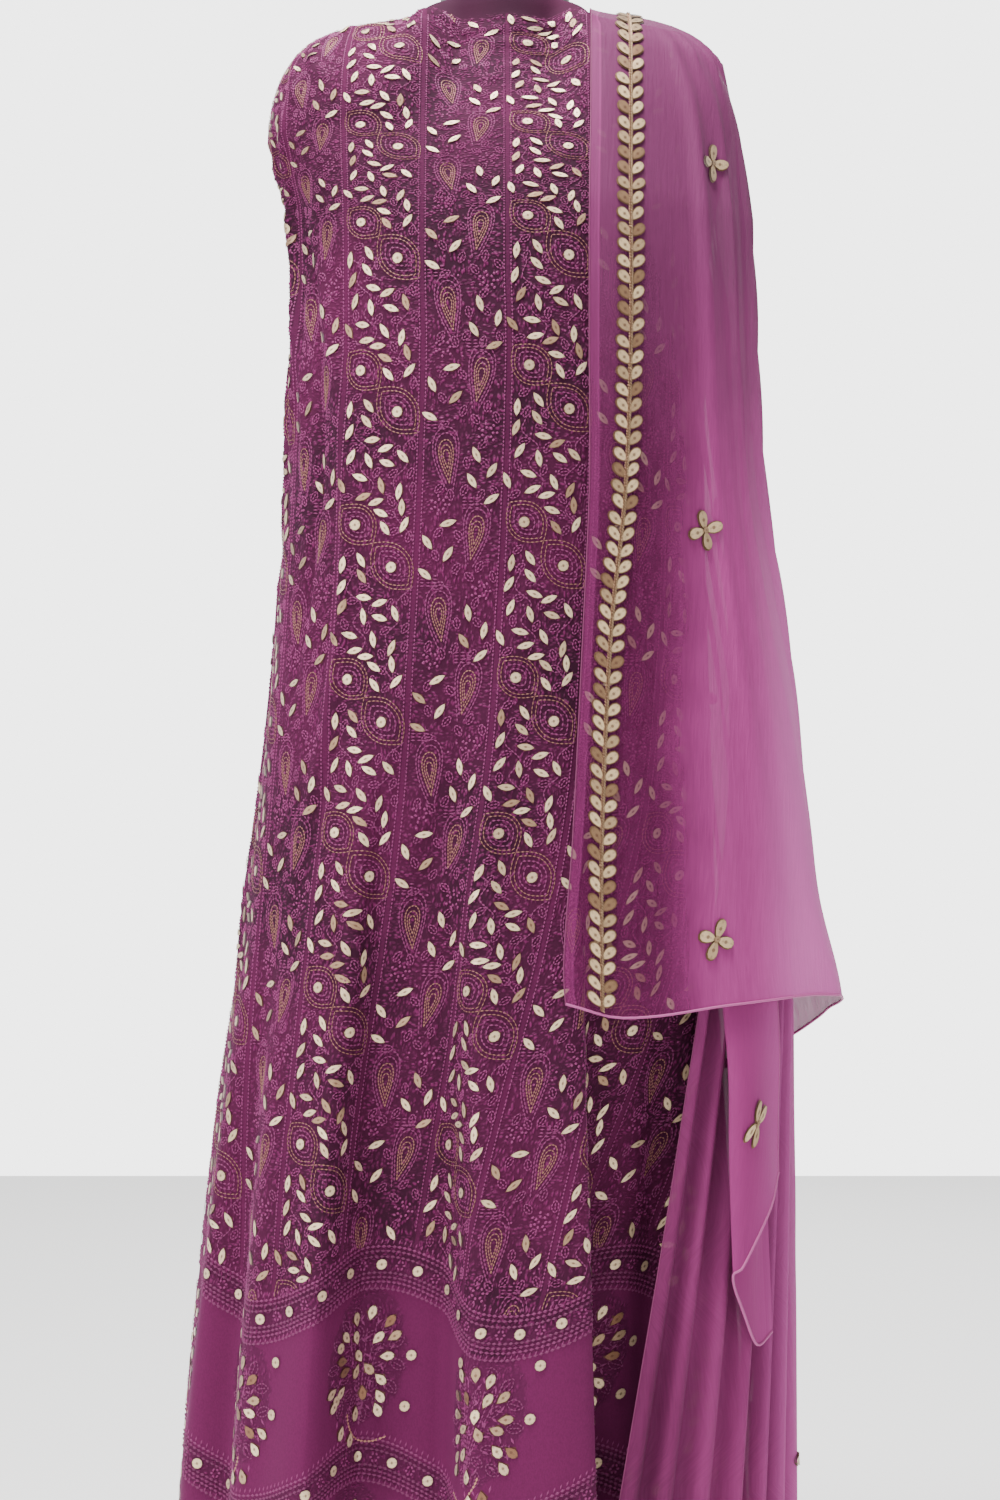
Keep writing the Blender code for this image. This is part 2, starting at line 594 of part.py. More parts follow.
def build_salwar(material):
    def waistband_point(column, row):
        height = (WAISTBAND_TOP, WAISTBAND_LOW)[row]
        high, low = (CAP_BASE - drop for drop in FORM_DROPS[5:7])
        angle, _ = form_angle(column, 0)
        ends = [Vector((*ring_point(FORM_SECTIONS, z, angle, WAISTBAND_OUT), height)) for z in (high, low)]
        return ends[0].lerp(ends[1], (high - height) / (high - low))

    waistband = sheet(FORM_COLUMNS, 1, waistband_point, closed=True)
    new_piece("salwar_waistband", waistband, material, SALWAR_WALL)
    for side, name in ((-1, "left"), (1, "right")):

        def leg_point(column, row, side=side):
            return leg_ring(side, LEG_HEIGHTS[row], column / LEG_SHEET_COLUMNS)

        legs = sheet(LEG_SHEET_COLUMNS, len(LEG_HEIGHTS) - 1, leg_point)
        new_piece(f"salwar_{name}_leg", legs, material, SALWAR_WALL)

        def cuff_point(column, row, side=side):
            height = (CUFF_TOP, CUFF_LOW)[row]
            middle = table_value(LEGS, LEG_COLUMNS, "left_middle" if side < 0 else "right_middle", height)
            wide, deep = (table_value(LEGS, LEG_COLUMNS, part, height) for part in ("wide", "deep"))
            turn = 2 * math.pi * column / 24
            return Vector((middle + wide * math.cos(turn), deep * math.sin(turn), height))

        new_piece(f"salwar_{name}_cuff", sheet(24, 1, cuff_point, closed=True), material, SALWAR_WALL)


for old in list(bpy.data.objects):
    bpy.data.objects.remove(old)
suit = bpy.data.collections.new("salwar_kameez_suit")
bpy.context.scene.collection.children.link(suit)

georgette = make_material("embroidered_georgette", (0.23, 0.045, 0.13), 0.75)
lining_cloth = make_material("salwar_cloth", (0.23, 0.045, 0.13), 0.7)
chiffon = make_material("dupatta_chiffon", (0.42, 0.15, 0.30), 0.6, alpha=0.7)
gota = make_material("gota_gold", (0.70, 0.52, 0.34), 0.35, metallic=0.6)
form_black = make_material("form_black", (0.015, 0.015, 0.017), 0.5)
stand_black = make_material("stand_black", (0.02, 0.02, 0.02), 0.35)

build_kameez("kameez_front", FRONT_FOLDS, False, georgette)
build_kameez("kameez_back", BACK_FOLDS, True, georgette)
build_salwar(lining_cloth)

for fall_name, (point_at, fall_columns, fall_rows) in FALLS.items():
    new_piece(f"dupatta_{fall_name}", sheet(fall_columns, fall_rows, point_at), chiffon, DUPATTA_WALL)
build_lace("gota_lace_front", "front", "lace", gota)
build_lace("gota_lace_back", "back", "back_lace", gota)
for number, (fall_name, flower_across, flower_down) in enumerate(FLOWERS, start=1):
    build_flower(f"gota_flower_{number:02d}", fall_name, flower_across, flower_down, gota)

build_torso(form_black)
turned(
    "form_neck",
    (
        (0, NECK_BASE),
        (NECK_RADIUS, NECK_BASE),
        (NECK_RADIUS, NECK_TOP - 0.010),
        (NECK_RADIUS - 0.003, NECK_TOP - 0.003),
        (NECK_RADIUS - 0.010, NECK_TOP),
        (0, NECK_TOP),
    ),
    form_black,
).location.y = RIDGE_Y
turned(
    "stand_base",
    (
        (0, 0),
        (PLATE_RADIUS - 0.002, 0),
        (PLATE_RADIUS, 0.002),
        (PLATE_RADIUS, PLATE_HEIGHT - 0.004),
        (PLATE_RADIUS - 0.004, PLATE_HEIGHT),
        (0.050, PLATE_HEIGHT + 0.006),
        (0.030, HUB_HEIGHT - 0.004),
        (0.026, HUB_HEIGHT),
        (0, HUB_HEIGHT),
    ),
    stand_black,
)
turned(
    "stand_pole",
    (
        (0, HUB_HEIGHT + SEAM),
        (POLE_RADIUS, HUB_HEIGHT + SEAM),
        (POLE_RADIUS, FORM_BASE - SEAM),
        (0, FORM_BASE - SEAM),
    ),
    stand_black,
    segments=24,
)
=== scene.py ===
import math

import bmesh
import bpy
import numpy as np
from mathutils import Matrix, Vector


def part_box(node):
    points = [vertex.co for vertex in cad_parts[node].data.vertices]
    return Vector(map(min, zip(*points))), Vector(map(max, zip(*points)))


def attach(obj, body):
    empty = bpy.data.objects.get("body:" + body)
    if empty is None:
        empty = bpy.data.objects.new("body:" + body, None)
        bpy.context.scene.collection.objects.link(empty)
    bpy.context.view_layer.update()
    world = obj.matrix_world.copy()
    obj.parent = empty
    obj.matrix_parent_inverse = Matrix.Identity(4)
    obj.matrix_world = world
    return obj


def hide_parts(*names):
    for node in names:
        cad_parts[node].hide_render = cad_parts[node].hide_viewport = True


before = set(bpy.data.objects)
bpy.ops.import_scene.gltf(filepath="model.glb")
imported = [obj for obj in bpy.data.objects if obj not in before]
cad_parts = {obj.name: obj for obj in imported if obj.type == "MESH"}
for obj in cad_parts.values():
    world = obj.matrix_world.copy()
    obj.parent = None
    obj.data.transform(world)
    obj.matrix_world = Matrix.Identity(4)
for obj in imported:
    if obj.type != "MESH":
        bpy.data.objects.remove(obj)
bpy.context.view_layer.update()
print("frame loaded, nodes:", len(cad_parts))

# The figure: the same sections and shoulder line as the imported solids
figure = {
    "roundness": 2.3,
    "capBase": 1.300,
    "hem": 0.150,
    "ridgeY": 0.010,
    "ridgeEnd": 0.134,
    "neckReach": 0.059,
    "seam": 0.0004,
    "side": math.radians(115),
}
sectionNames = ("left", "right", "front", "back")
kameezSections = (
    (1.300, 0.1930, 0.1840, 0.100, 0.085),
    (1.272, 0.1830, 0.1775, 0.112, 0.096),
    (1.240, 0.1735, 0.1710, 0.122, 0.103),
    (1.207, 0.1695, 0.1665, 0.128, 0.107),
    (1.174, 0.1685, 0.1640, 0.131, 0.108),
    (1.100, 0.1740, 0.1620, 0.135, 0.108),
    (1.010, 0.1780, 0.1620, 0.137, 0.109),
    (0.912, 0.1850, 0.1640, 0.139, 0.122),
    (0.780, 0.1970, 0.1680, 0.143, 0.134),
    (0.649, 0.2120, 0.1720, 0.148, 0.140),
    (0.518, 0.2290, 0.1770, 0.152, 0.145),
    (0.387, 0.2410, 0.1830, 0.156, 0.150),
    (0.256, 0.2525, 0.1900, 0.160, 0.157),
    (0.150, 0.2600, 0.1960, 0.164, 0.162),
)
formSections = (
    (1.207, 0.1620, 0.1605, 0.1230, 0.1030),
    (1.174, 0.1540, 0.1540, 0.1230, 0.1030),
    (1.100, 0.1400, 0.1400, 0.1120, 0.0980),
    (1.010, 0.1200, 0.1200, 0.0900, 0.0880),
    (0.985, 0.1180, 0.1180, 0.0880, 0.0870),
    (0.912, 0.1300, 0.1300, 0.0980, 0.1000),
)
salwarSections = (
    (1.030, 0.1275, 0.1275, 0.0985, 0.0940),
    (0.985, 0.1215, 0.1215, 0.0915, 0.0905),
    (0.912, 0.1380, 0.1370, 0.1060, 0.1080),
    (0.850, 0.1480, 0.1460, 0.1150, 0.1200),
    (0.780, 0.1520, 0.1480, 0.1200, 0.1240),
    (0.720, 0.1520, 0.1460, 0.1180, 0.1200),
)
frontFallSections = (
    (1.300, 0.1875, 0.1875, 0.1035, 0.0885),
    (1.272, 0.1885, 0.1885, 0.1160, 0.1020),
    (1.240, 0.1930, 0.1930, 0.1265, 0.1100),
    (1.174, 0.1965, 0.1965, 0.1365, 0.1180),
    (1.076, 0.2005, 0.2005, 0.1410, 0.1220),
    (1.010, 0.2055, 0.2055, 0.1425, 0.1250),
    (0.944, 0.2165, 0.2165, 0.1445, 0.1280),
    (0.846, 0.2335, 0.2335, 0.1510, 0.1340),
    (0.748, 0.2475, 0.2475, 0.1590, 0.1400),
    (0.682, 0.2565, 0.2565, 0.1650, 0.1460),
    (0.616, 0.2725, 0.2725, 0.1710, 0.1520),
    (0.560, 0.2790, 0.2790, 0.1750, 0.1550),
)
backFallSections = (
    (1.300, 0.1875, 0.1875, 0.1035, 0.0885),
    (1.272, 0.1830, 0.1830, 0.1160, 0.1010),
    (1.240, 0.1795, 0.1795, 0.1255, 0.1090),
    (1.174, 0.1780, 0.1780, 0.1345, 0.1160),
    (1.076, 0.1795, 0.1795, 0.1370, 0.1190),
    (1.010, 0.1840, 0.1840, 0.1380, 0.1240),
    (0.944, 0.1920, 0.1920, 0.1400, 0.1330),
    (0.846, 0.2050, 0.2050, 0.1430, 0.1450),
    (0.748, 0.2140, 0.2140, 0.1470, 0.1560),
    (0.616, 0.2200, 0.2200, 0.1540, 0.1680),
    (0.518, 0.2200, 0.2200, 0.1600, 0.1760),
    (0.452, 0.2210, 0.2210, 0.1650, 0.1820),
    (0.321, 0.2230, 0.2230, 0.1750, 0.1900),
    (0.194, 0.2260, 0.2260, 0.1830, 0.1970),
    (0.045, 0.2300, 0.2300, 0.1880, 0.2030),
)
topEdge = (  # distance from the middle, height in front, height behind
    (0.000, 1.4180, 1.4090),
    (0.047, 1.4125, 1.4075),
    (0.070, 1.4050, 1.4045),
    (0.110, 1.3990, 1.3990),
    (0.134, 1.3920, 1.3920),
)
# flutes of the skirt: angle, depth at the hem, height where it fades
frontFolds = (
    (-115, -0.012, 0.86),
    (-109, -0.012, 0.84),
    (-94, 0.006, 0.80),
    (-72, 0.008, 0.80),
    (-61, -0.008, 0.82),
    (-46, 0.013, 0.84),
    (-31, 0.021, 0.86),
    (-26, -0.024, 0.90),
    (-10, -0.026, 0.92),
    (-3, 0.024, 0.92),
    (15, 0.026, 0.90),
    (19, -0.022, 0.86),
    (40, -0.024, 0.80),
    (58, 0.004, 0.72),
    (76, -0.012, 0.72),
    (95, 0.004, 0.70),
    (109, -0.012, 0.84),
    (115, -0.012, 0.86),
)
backFolds = (
    (115, -0.012, 0.86),
    (121, -0.012, 0.86),
    (132, 0.018, 0.94),
    (147, 0.020, 0.95),
    (158, -0.018, 0.95),
    (172, -0.016, 0.98),
    (184, 0.022, 1.00),
    (202, 0.020, 0.98),
    (212, -0.018, 0.94),
    (227, 0.018, 0.92),
    (239, -0.012, 0.86),
    (245, -0.012, 0.86),
)
# the dupatta: height, front edge, lace, start behind in degrees, back edge, back lace
dupattaLines = (
    (1.405, 0.0700, 0.1000, 90, 0.070, 0.100),
    (1.300, 0.0670, 0.0985, 115, 0.068, 0.098),
    (1.240, 0.0655, 0.0975, 104, 0.066, 0.096),
    (1.130, 0.0650, 0.0970, 84, 0.065, 0.096),
    (1.010, 0.0650, 0.0925, 70, 0.066, 0.097),
    (0.900, 0.0600, 0.0810, 60, 0.068, 0.098),
    (0.736, 0.0515, 0.0735, 50, 0.072, 0.102),
    (0.640, 0.0445, 0.0735, 42, 0.074, 0.104),
    (0.580, 0.0480, 0.0740, 38, 0.076, 0.106),
    (0.190, 0.0480, 0.0740, 17, 0.084, 0.114),
    (0.045, 0.0480, 0.0740, 13, 0.088, 0.118),
)
dupattaHems = (  # share across, hem height of the front fall, of the back fall
    (0.00, 0.612, 0.050),
    (0.07, 0.601, 0.046),
    (0.25, 0.609, 0.045),
    (0.50, 0.611, 0.050),
    (0.78, 0.592, 0.056),
    (1.00, 0.552, 0.048),
)


def smoothLine(rows, column):
    rows = np.array(sorted(rows), dtype=float)
    x, y = rows[:, 0], rows[:, column]
    slope = np.empty_like(y)
    slope[1:-1] = (y[2:] - y[:-2]) / (x[2:] - x[:-2])
    slope[0], slope[-1] = (y[1] - y[0]) / (x[1] - x[0]), (y[-1] - y[-2]) / (x[-1] - x[-2])

    def value(at):
        at = np.clip(np.asarray(at, dtype=float), x[0], x[-1])
        i = np.clip(np.searchsorted(x, at) - 1, 0, len(x) - 2)
        span = x[i + 1] - x[i]
        t = (at - x[i]) / span
        return (
            (2 * t**3 - 3 * t**2 + 1) * y[i]
            + (t**3 - 2 * t**2 + t) * span * slope[i]
            + (3 * t**2 - 2 * t**3) * y[i + 1]
            + (t**3 - t**2) * span * slope[i + 1]
        )

    return value


def signedPower(value, power=2 / figure["roundness"]):
    return np.sign(value) * np.abs(value) ** power


def ramp(low, high, value):
    t = np.clip((np.asarray(value, dtype=float) - low) / (high - low), 0, 1)
    return t * t * (3 - 2 * t)


def blend(a, b, share):
    return a + (b - a) * share


def sections(rows):
    return {name: smoothLine(rows, k + 1) for k, name in enumerate(sectionNames)}


kameezShape, frontFallShape, backFallShape = (
    sections(rows) for rows in (kameezSections, frontFallSections, backFallSections)
)
salwarShape, formShape = sections(salwarSections), sections(formSections)
edgeHeight = {False: smoothLine(topEdge, 1), True: smoothLine(topEdge, 2)}


def ringPoints(shape, height, angle, out=0.0):
    across, ahead = signedPower(np.sin(angle)), signedPower(np.cos(angle))
    wide = np.where(across > 0, shape["right"](height), shape["left"](height))
    deep = np.where(ahead > 0, shape["front"](height), shape["back"](height))
    nx, ny = across / wide, -ahead / deep
    length = np.hypot(nx, ny)
    return across * wide + out * nx / length, -ahead * deep + out * ny / length


def bodyPoints(shape, angle, behind, drop, out=0.0, lift=0.0):
    # a drop from 0 up is metres below the cap's base, and from 0 to -1 it is the share up the cap
    base, reach = figure["capBase"], figure["neckReach"] + figure["seam"] / 2
    low = np.maximum(drop, 0)
    footX, footY = ringPoints(shape, base - low, angle, out)
    topX = signedPower(np.sin(angle)) * figure["ridgeEnd"]
    aside = np.sqrt(np.maximum(0, figure["neckReach"] ** 2 - topX**2)) + figure["seam"] / 2
    topY = figure["ridgeY"] + (aside if behind else -aside)
    topZ = edgeHeight[behind](np.abs(topX)) + lift
    up = np.clip(-drop, 0, 1)
    turn = up * math.pi / 2
    shoulder = ramp(0.030, 0.062, np.abs(topX))
    rise = blend(up, np.sin(turn), shoulder)
    inwards = blend(np.sin(turn), 1 - np.cos(turn), shoulder)
    x, y = blend(footX, topX, inwards), blend(footY, topY, inwards)
    return np.stack([x, y, blend(base - low, topZ, rise)], axis=-1)


def sideAngle(drop, behind):
    halfGap = figure["seam"] / 2 / 0.11
    return blend(figure["side"], math.pi / 2, np.maximum(0, -drop) ** 2) + (halfGap if behind else -halfGap)


def foldPush(folds, degrees, drop):
    rows = np.array(folds)
    k = np.clip(np.searchsorted(rows[:, 0], degrees, side="right") - 1, 0, len(rows) - 2)
    share = (degrees - rows[k, 0]) / (rows[k + 1, 0] - rows[k, 0])
    ease = (1 - np.cos(math.pi * np.clip(share, 0, 1))) / 2
    height = figure["capBase"] - drop

    def depth(i):
        t = np.clip((height - rows[i, 2]) / (figure["hem"] - rows[i, 2]), 0, 1)
        return rows[i, 1] * (t * t * (3 - 2 * t)) ** 0.85

    return np.where(drop > 0, blend(depth(k), depth(k + 1), ease), 0)


def rowDrops(bottom, capRows, step):
    # evenly spaced rows down the cloth, first over the shoulder cap
    rows = max(2, round(bottom / step))
    return np.concatenate([np.linspace(-1, 0, capRows + 1)[:-1], np.linspace(0, bottom, rows + 1)])


def surfaceNormals(points):
    down = np.gradient(points, axis=0)
    across = np.gradient(points, axis=1)
    normal = np.cross(down, across)
    return normal / np.maximum(np.linalg.norm(normal, axis=-1, keepdims=True), 1e-12)


def creased(points, normals, creases, along):
    # each crease: where it starts and ends on the cloth, half width and height, in metres
    moved = np.zeros(points.shape[:2])
    u, v = along
    for u0, v0, u1, v1, half, height in creases:
        du, dv = u1 - u0, v1 - v0
        length = math.hypot(du, dv)
        run = ((u - u0) * du + (v - v0) * dv) / length**2
        bow = 0.08 * length * np.sin(math.pi * np.clip(run, 0, 1)) * (1 if (u0 + v1) * 1e3 % 2 < 1 else -1)
        off = ((u - u0) * dv - (v - v0) * du) / length + bow
        moved += height * np.exp(-((off / half) ** 2)) * ramp(-0.02, 0.25, run) * ramp(1.02, 0.7, run)
    return points + normals * moved[..., None]


class Cloth:
    # a placed grid of cloth points, with its distances in the flat cloth: u across and v down, in metres
    def __init__(self, points, zeroColumn=None, middle=None):
        self.points = points
        rows, columns = points.shape[:2]
        steps = np.linalg.norm(np.diff(points, axis=1), axis=-1)
        u = np.concatenate([np.zeros((rows, 1)), np.cumsum(steps, axis=1)], axis=1)
        if zeroColumn is not None:
            u = u - np.array([np.interp(zeroColumn, np.arange(columns), row) for row in u])[:, None]
        centre = columns // 2 if middle is None else middle
        falls = np.linalg.norm(np.diff(points[:, centre], axis=0), axis=-1)
        self.u, self.v = u, np.concatenate([[0], np.cumsum(falls)])
        self.refresh()

    def refresh(self):
        self.normals = surfaceNormals(self.points)
        rows, columns = self.points.shape[:2]
        self.uLine = np.linspace(self.u.min(), self.u.max(), 900)
        self.columnAt = np.stack([np.interp(self.uLine, row, np.arange(columns)) for row in self.u])

    def inside(self, u, v, margin=0.004):
        row = np.clip(np.interp(v, self.v, np.arange(len(self.v))), 0, len(self.v) - 1)
        r = row.astype(int)
        return (
            (u > self.u[r, 0] + margin)
            & (u < self.u[r, -1] - margin)
            & (v > self.v[0] + margin)
            & (v < self.v[-1] - margin)
        )

    def place(self, u, v, lift):
        rows, columns = self.points.shape[:2]
        row = np.interp(v, self.v, np.arange(rows))
        r = np.minimum(row.astype(int), rows - 2)
        fr = row - r
        line = np.clip((u - self.uLine[0]) / (self.uLine[1] - self.uLine[0]), 0, len(self.uLine) - 1.001)
        k = line.astype(int)
        part = line - k
        column = (
            (self.columnAt[r, k] * (1 - part) + self.columnAt[r, k + 1] * part) * (1 - fr)
            + (self.columnAt[r + 1, k] * (1 - part) + self.columnAt[r + 1, k + 1] * part) * fr
        )
        c = np.clip(column.astype(int), 0, columns - 2)
        fc = (column - c)[:, None]
        fr = fr[:, None]

        def at(grid):
            return (grid[r, c] * (1 - fc) + grid[r, c + 1] * fc) * (1 - fr) + (
                grid[r + 1, c] * (1 - fc) + grid[r + 1, c + 1] * fc
            ) * fr

        normal = at(self.normals)
        normal /= np.maximum(np.linalg.norm(normal, axis=-1, keepdims=True), 1e-12)
        return at(self.points) + normal * np.asarray(lift)[:, None]


# Shapes made once with bmesh, then repeated over the cloth
def smallShape(make):
    shape = bmesh.new()
    make(shape)
    bmesh.ops.triangulate(shape, faces=shape.faces)
    bmesh.ops.recalc_face_normals(shape, faces=shape.faces)
    if shape.faces[:][0].normal.z < 0:
        bmesh.ops.reverse_faces(shape, faces=shape.faces)
    shape.verts.index_update()
    points = np.array([v.co[:] for v in shape.verts])
    faces = np.array([[v.index for v in f.verts] for f in shape.faces])
    shape.free()
    return points, faces


def cushioned(shape, segments, crown=0.45):
    # a disc whose middle is raised in two steps
    bmesh.ops.create_circle(shape, cap_ends=True, segments=segments, radius=1.0)
    inset = bmesh.ops.inset_region(shape, faces=shape.faces[:], thickness=crown, use_even_offset=False)
    inner = [f for f in shape.faces if f not in set(inset["faces"])]
    for vertex in {v for f in inner for v in f.verts}:
        vertex.co.z = 0.8
    centre = bmesh.ops.poke(shape, faces=inner)
    for vertex in centre["verts"]:
        vertex.co.z = 1.0


def leafShape(shape):
    cushioned(shape, 12)
    for vertex in shape.verts:
        vertex.co.y *= max(0.0, 1 - vertex.co.x**2) ** 0.42 if abs(vertex.co.x) < 0.999 else 0


def dropShape(shape):
    cushioned(shape, 10)
    for vertex in shape.verts:
        vertex.co.y *= 0.62 + 0.38 * (1 - (vertex.co.x + 1) / 2) ** 0.6 if vertex.co.x > -0.9 else 1
        vertex.co.y *= max(0.05, 1 - max(0, vertex.co.x) ** 2.2)


def dotShape(shape):
    cushioned(shape, 10, 0.35)


def raisedShape(shape, sides):
    bmesh.ops.create_circle(shape, cap_ends=True, cap_tris=True, segments=sides, radius=1.0)
    for vertex in shape.verts:
        vertex.co.z = 1.0 if vertex.co.length < 0.5 else 0.0


def stitchShape(shape):
    raisedShape(shape, 4)


def knotShape(shape):
    raisedShape(shape, 5)


def petalShape(shape):
    # a ribbon leaf, round at its free end and pinched where it is sewn down, with a fold along it
    cushioned(shape, 12, 0.5)
    for vertex in shape.verts:
        pinch = 0.30 + 0.70 * ((vertex.co.x + 1) / 2) ** 0.55
        vertex.co.y *= pinch
        vertex.co.z *= 0.55 + 0.45 * (vertex.co.x + 1) / 2


smallShapes = {
    name: smallShape(make)
    for name, make in (
        ("leaf", leafShape), ("drop", dropShape), ("dot", dotShape),
        ("stitch", stitchShape), ("knot", knotShape), ("petal", petalShape),
    )
}


def newObject(name, mesh, material, nodes=()):
    made = bpy.data.objects.new(name, mesh)
    bpy.context.scene.collection.objects.link(made)
    made.data.materials.append(material)
    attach(made, "root")
    if nodes:
        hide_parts(*nodes)
    return made


def arrayMesh(name, points, faces, uv, tone=None):
    mesh = bpy.data.meshes.new(name)
    mesh.from_pydata(points.tolist(), [], faces.tolist())
    layer = mesh.uv_layers.new(name="UVMap")
    layer.data.foreach_set("uv", uv[faces.ravel()].astype(np.float32).ravel())
    if tone is not None:
        attribute = mesh.attributes.new("tone", "FLOAT", "POINT")
        attribute.data.foreach_set("value", tone.astype(np.float32))
    mesh.shade_smooth()
    return mesh


class Stitching:
    # shapes gathered for one cloth, then laid on it all at once
    def __init__(self, cloth):
        self.cloth, self.rows = cloth, {}

    def add(self, shape, u, v, turn, size, lift=0.0005, tone=0.5):
        long, wide, high = size
        values = np.broadcast_arrays(u, v, turn, long / 2, wide / 2, high, lift, tone)
        self.rows.setdefault(shape, []).append(np.stack(values, axis=-1).reshape(-1, 8).astype(float))

    def run(self, path, size, pitch, shape="stitch", lift=0.0005, tone=0.5, aside=0.0, slant=0.0):
        # stitches one after another along a path of (u, v) points
        path = np.asarray(path, dtype=float)
        steps = np.linalg.norm(np.diff(path, axis=0), axis=1)
        far = np.concatenate([[0], np.cumsum(steps)])
        count = max(1, round(far[-1] / pitch))
        at = (np.arange(count) + 0.5) / count * far[-1]
        u, v = np.interp(at, far, path[:, 0]), np.interp(at, far, path[:, 1])
        du = np.interp(at + pitch / 2, far, path[:, 0]) - np.interp(at - pitch / 2, far, path[:, 0])
        dv = np.interp(at + pitch / 2, far, path[:, 1]) - np.interp(at - pitch / 2, far, path[:, 1])
        length = np.maximum(np.hypot(du, dv), 1e-9)
        u, v = u + aside * dv / length, v - aside * du / length
        self.add(shape, u, v, np.arctan2(-dv, du) + slant, size, lift, tone)

    def finish(self, name, material, nodes=(), slot=None):
        made, start = [], 0
        for shape, lists in self.rows.items():
            rows = np.concatenate(lists)
            reach = rows[:, 3]
            rows = rows[self.cloth.inside(rows[:, 0], rows[:, 1], margin=0.002 + reach * 0.6)]
            if not len(rows):
                continue
            points, faces = smallShapes[shape]
            u0, v0, turn, long, wide, high, lift, tone = (rows[:, [k]] for k in range(8))
            x, y, z = points[:, 0], points[:, 1], points[:, 2]
            u = u0 + x * long * np.cos(turn) - y * wide * np.sin(turn)
            v = v0 - x * long * np.sin(turn) - y * wide * np.cos(turn)
            placed = self.cloth.place(u.ravel(), v.ravel(), (lift + z * high).ravel())
            count = len(points)
            index = (faces[None] + (np.arange(len(rows)) * count)[:, None, None]).reshape(-1, 3) + start
            uv = np.tile(points[:, :2] * 0.5 + 0.5, (len(rows), 1))
            made.append((placed, index, uv, np.repeat(tone.ravel(), count)))
            start += len(placed)
        points, faces, uv, tone = (np.concatenate([part[k] for part in made]) for k in range(4))
        piece = newObject(name, arrayMesh(name, points, faces, uv, tone), material, nodes)
        print(f"{name}: {len(faces)} triangles")
        return piece


def clothPiece(name, cloth, material, wall, nodes=()):
    print(name, "is", round(float(np.ptp(cloth.u, axis=1).mean()), 3), "by", round(float(cloth.v[-1]), 3), "m")
    # one sheet of quads through the cloth's points, made from a bmesh grid
    rows, columns = cloth.points.shape[:2]
    grid = bmesh.new()
    bmesh.ops.create_grid(grid, x_segments=columns - 1, y_segments=rows - 1, size=0.5)
    mesh = bpy.data.meshes.new(name)
    grid.to_mesh(mesh)
    grid.free()
    flat = np.empty(len(mesh.vertices) * 3)
    mesh.vertices.foreach_get("co", flat)
    flat = flat.reshape(-1, 3)
    column = np.rint((flat[:, 0] + 0.5) * (columns - 1)).astype(int)
    row = np.rint((0.5 - flat[:, 1]) * (rows - 1)).astype(int)
    mesh.vertices.foreach_set("co", cloth.points[row, column].ravel())
    corners = np.empty(len(mesh.loops), dtype=int)
    mesh.loops.foreach_get("vertex_index", corners)
    uv = np.stack([cloth.u[row, column], cloth.v[row]], axis=-1)[corners]
    layer = mesh.uv_layers.new(name="UVMap")
    layer.data.foreach_set("uv", uv.astype(np.float32).ravel())
    mesh.update()
    mesh.shade_smooth()
    made = newObject(name, mesh, material, nodes)
    if wall:
        solidify = made.modifiers.new("Wall", "SOLIDIFY")
        solidify.thickness = wall
        solidify.offset = 0
    return made


# Shader maths: a wrapped socket takes part in Python expressions
class Value:
    def __init__(self, paint, socket):
        self.paint, self.socket = paint, socket

    def maths(self, operation, *others):
        return self.paint.node("ShaderNodeMath", {"operation": operation}, {0: self, **dict(enumerate(others, 1))})

    def __add__(self, other):
        return self.maths("ADD", other)

    def __sub__(self, other):
        return self.maths("SUBTRACT", other)

    def __rsub__(self, other):
        return self.paint.node("ShaderNodeMath", {"operation": "SUBTRACT"}, {0: other, 1: self})

    def __mul__(self, other):
        return self.maths("MULTIPLY", other)

    def __truediv__(self, other):
        return self.maths("DIVIDE", other)

    def __pow__(self, other):
        return self.maths("POWER", other)

    __radd__, __rmul__ = __add__, __mul__

    def sine(self):
        return self.maths("SINE")

    def size(self):
        return self.maths("ABSOLUTE")

    def part(self):
        return self.maths("FRACT")

    def between(self, low, high):
        # 0 below low and 1 above high, smoothly
        settings = {"interpolation_type": "SMOOTHSTEP"}
        inputs = {"Value": self, "From Min": low, "From Max": high}
        return self.paint.node("ShaderNodeMapRange", settings, inputs)


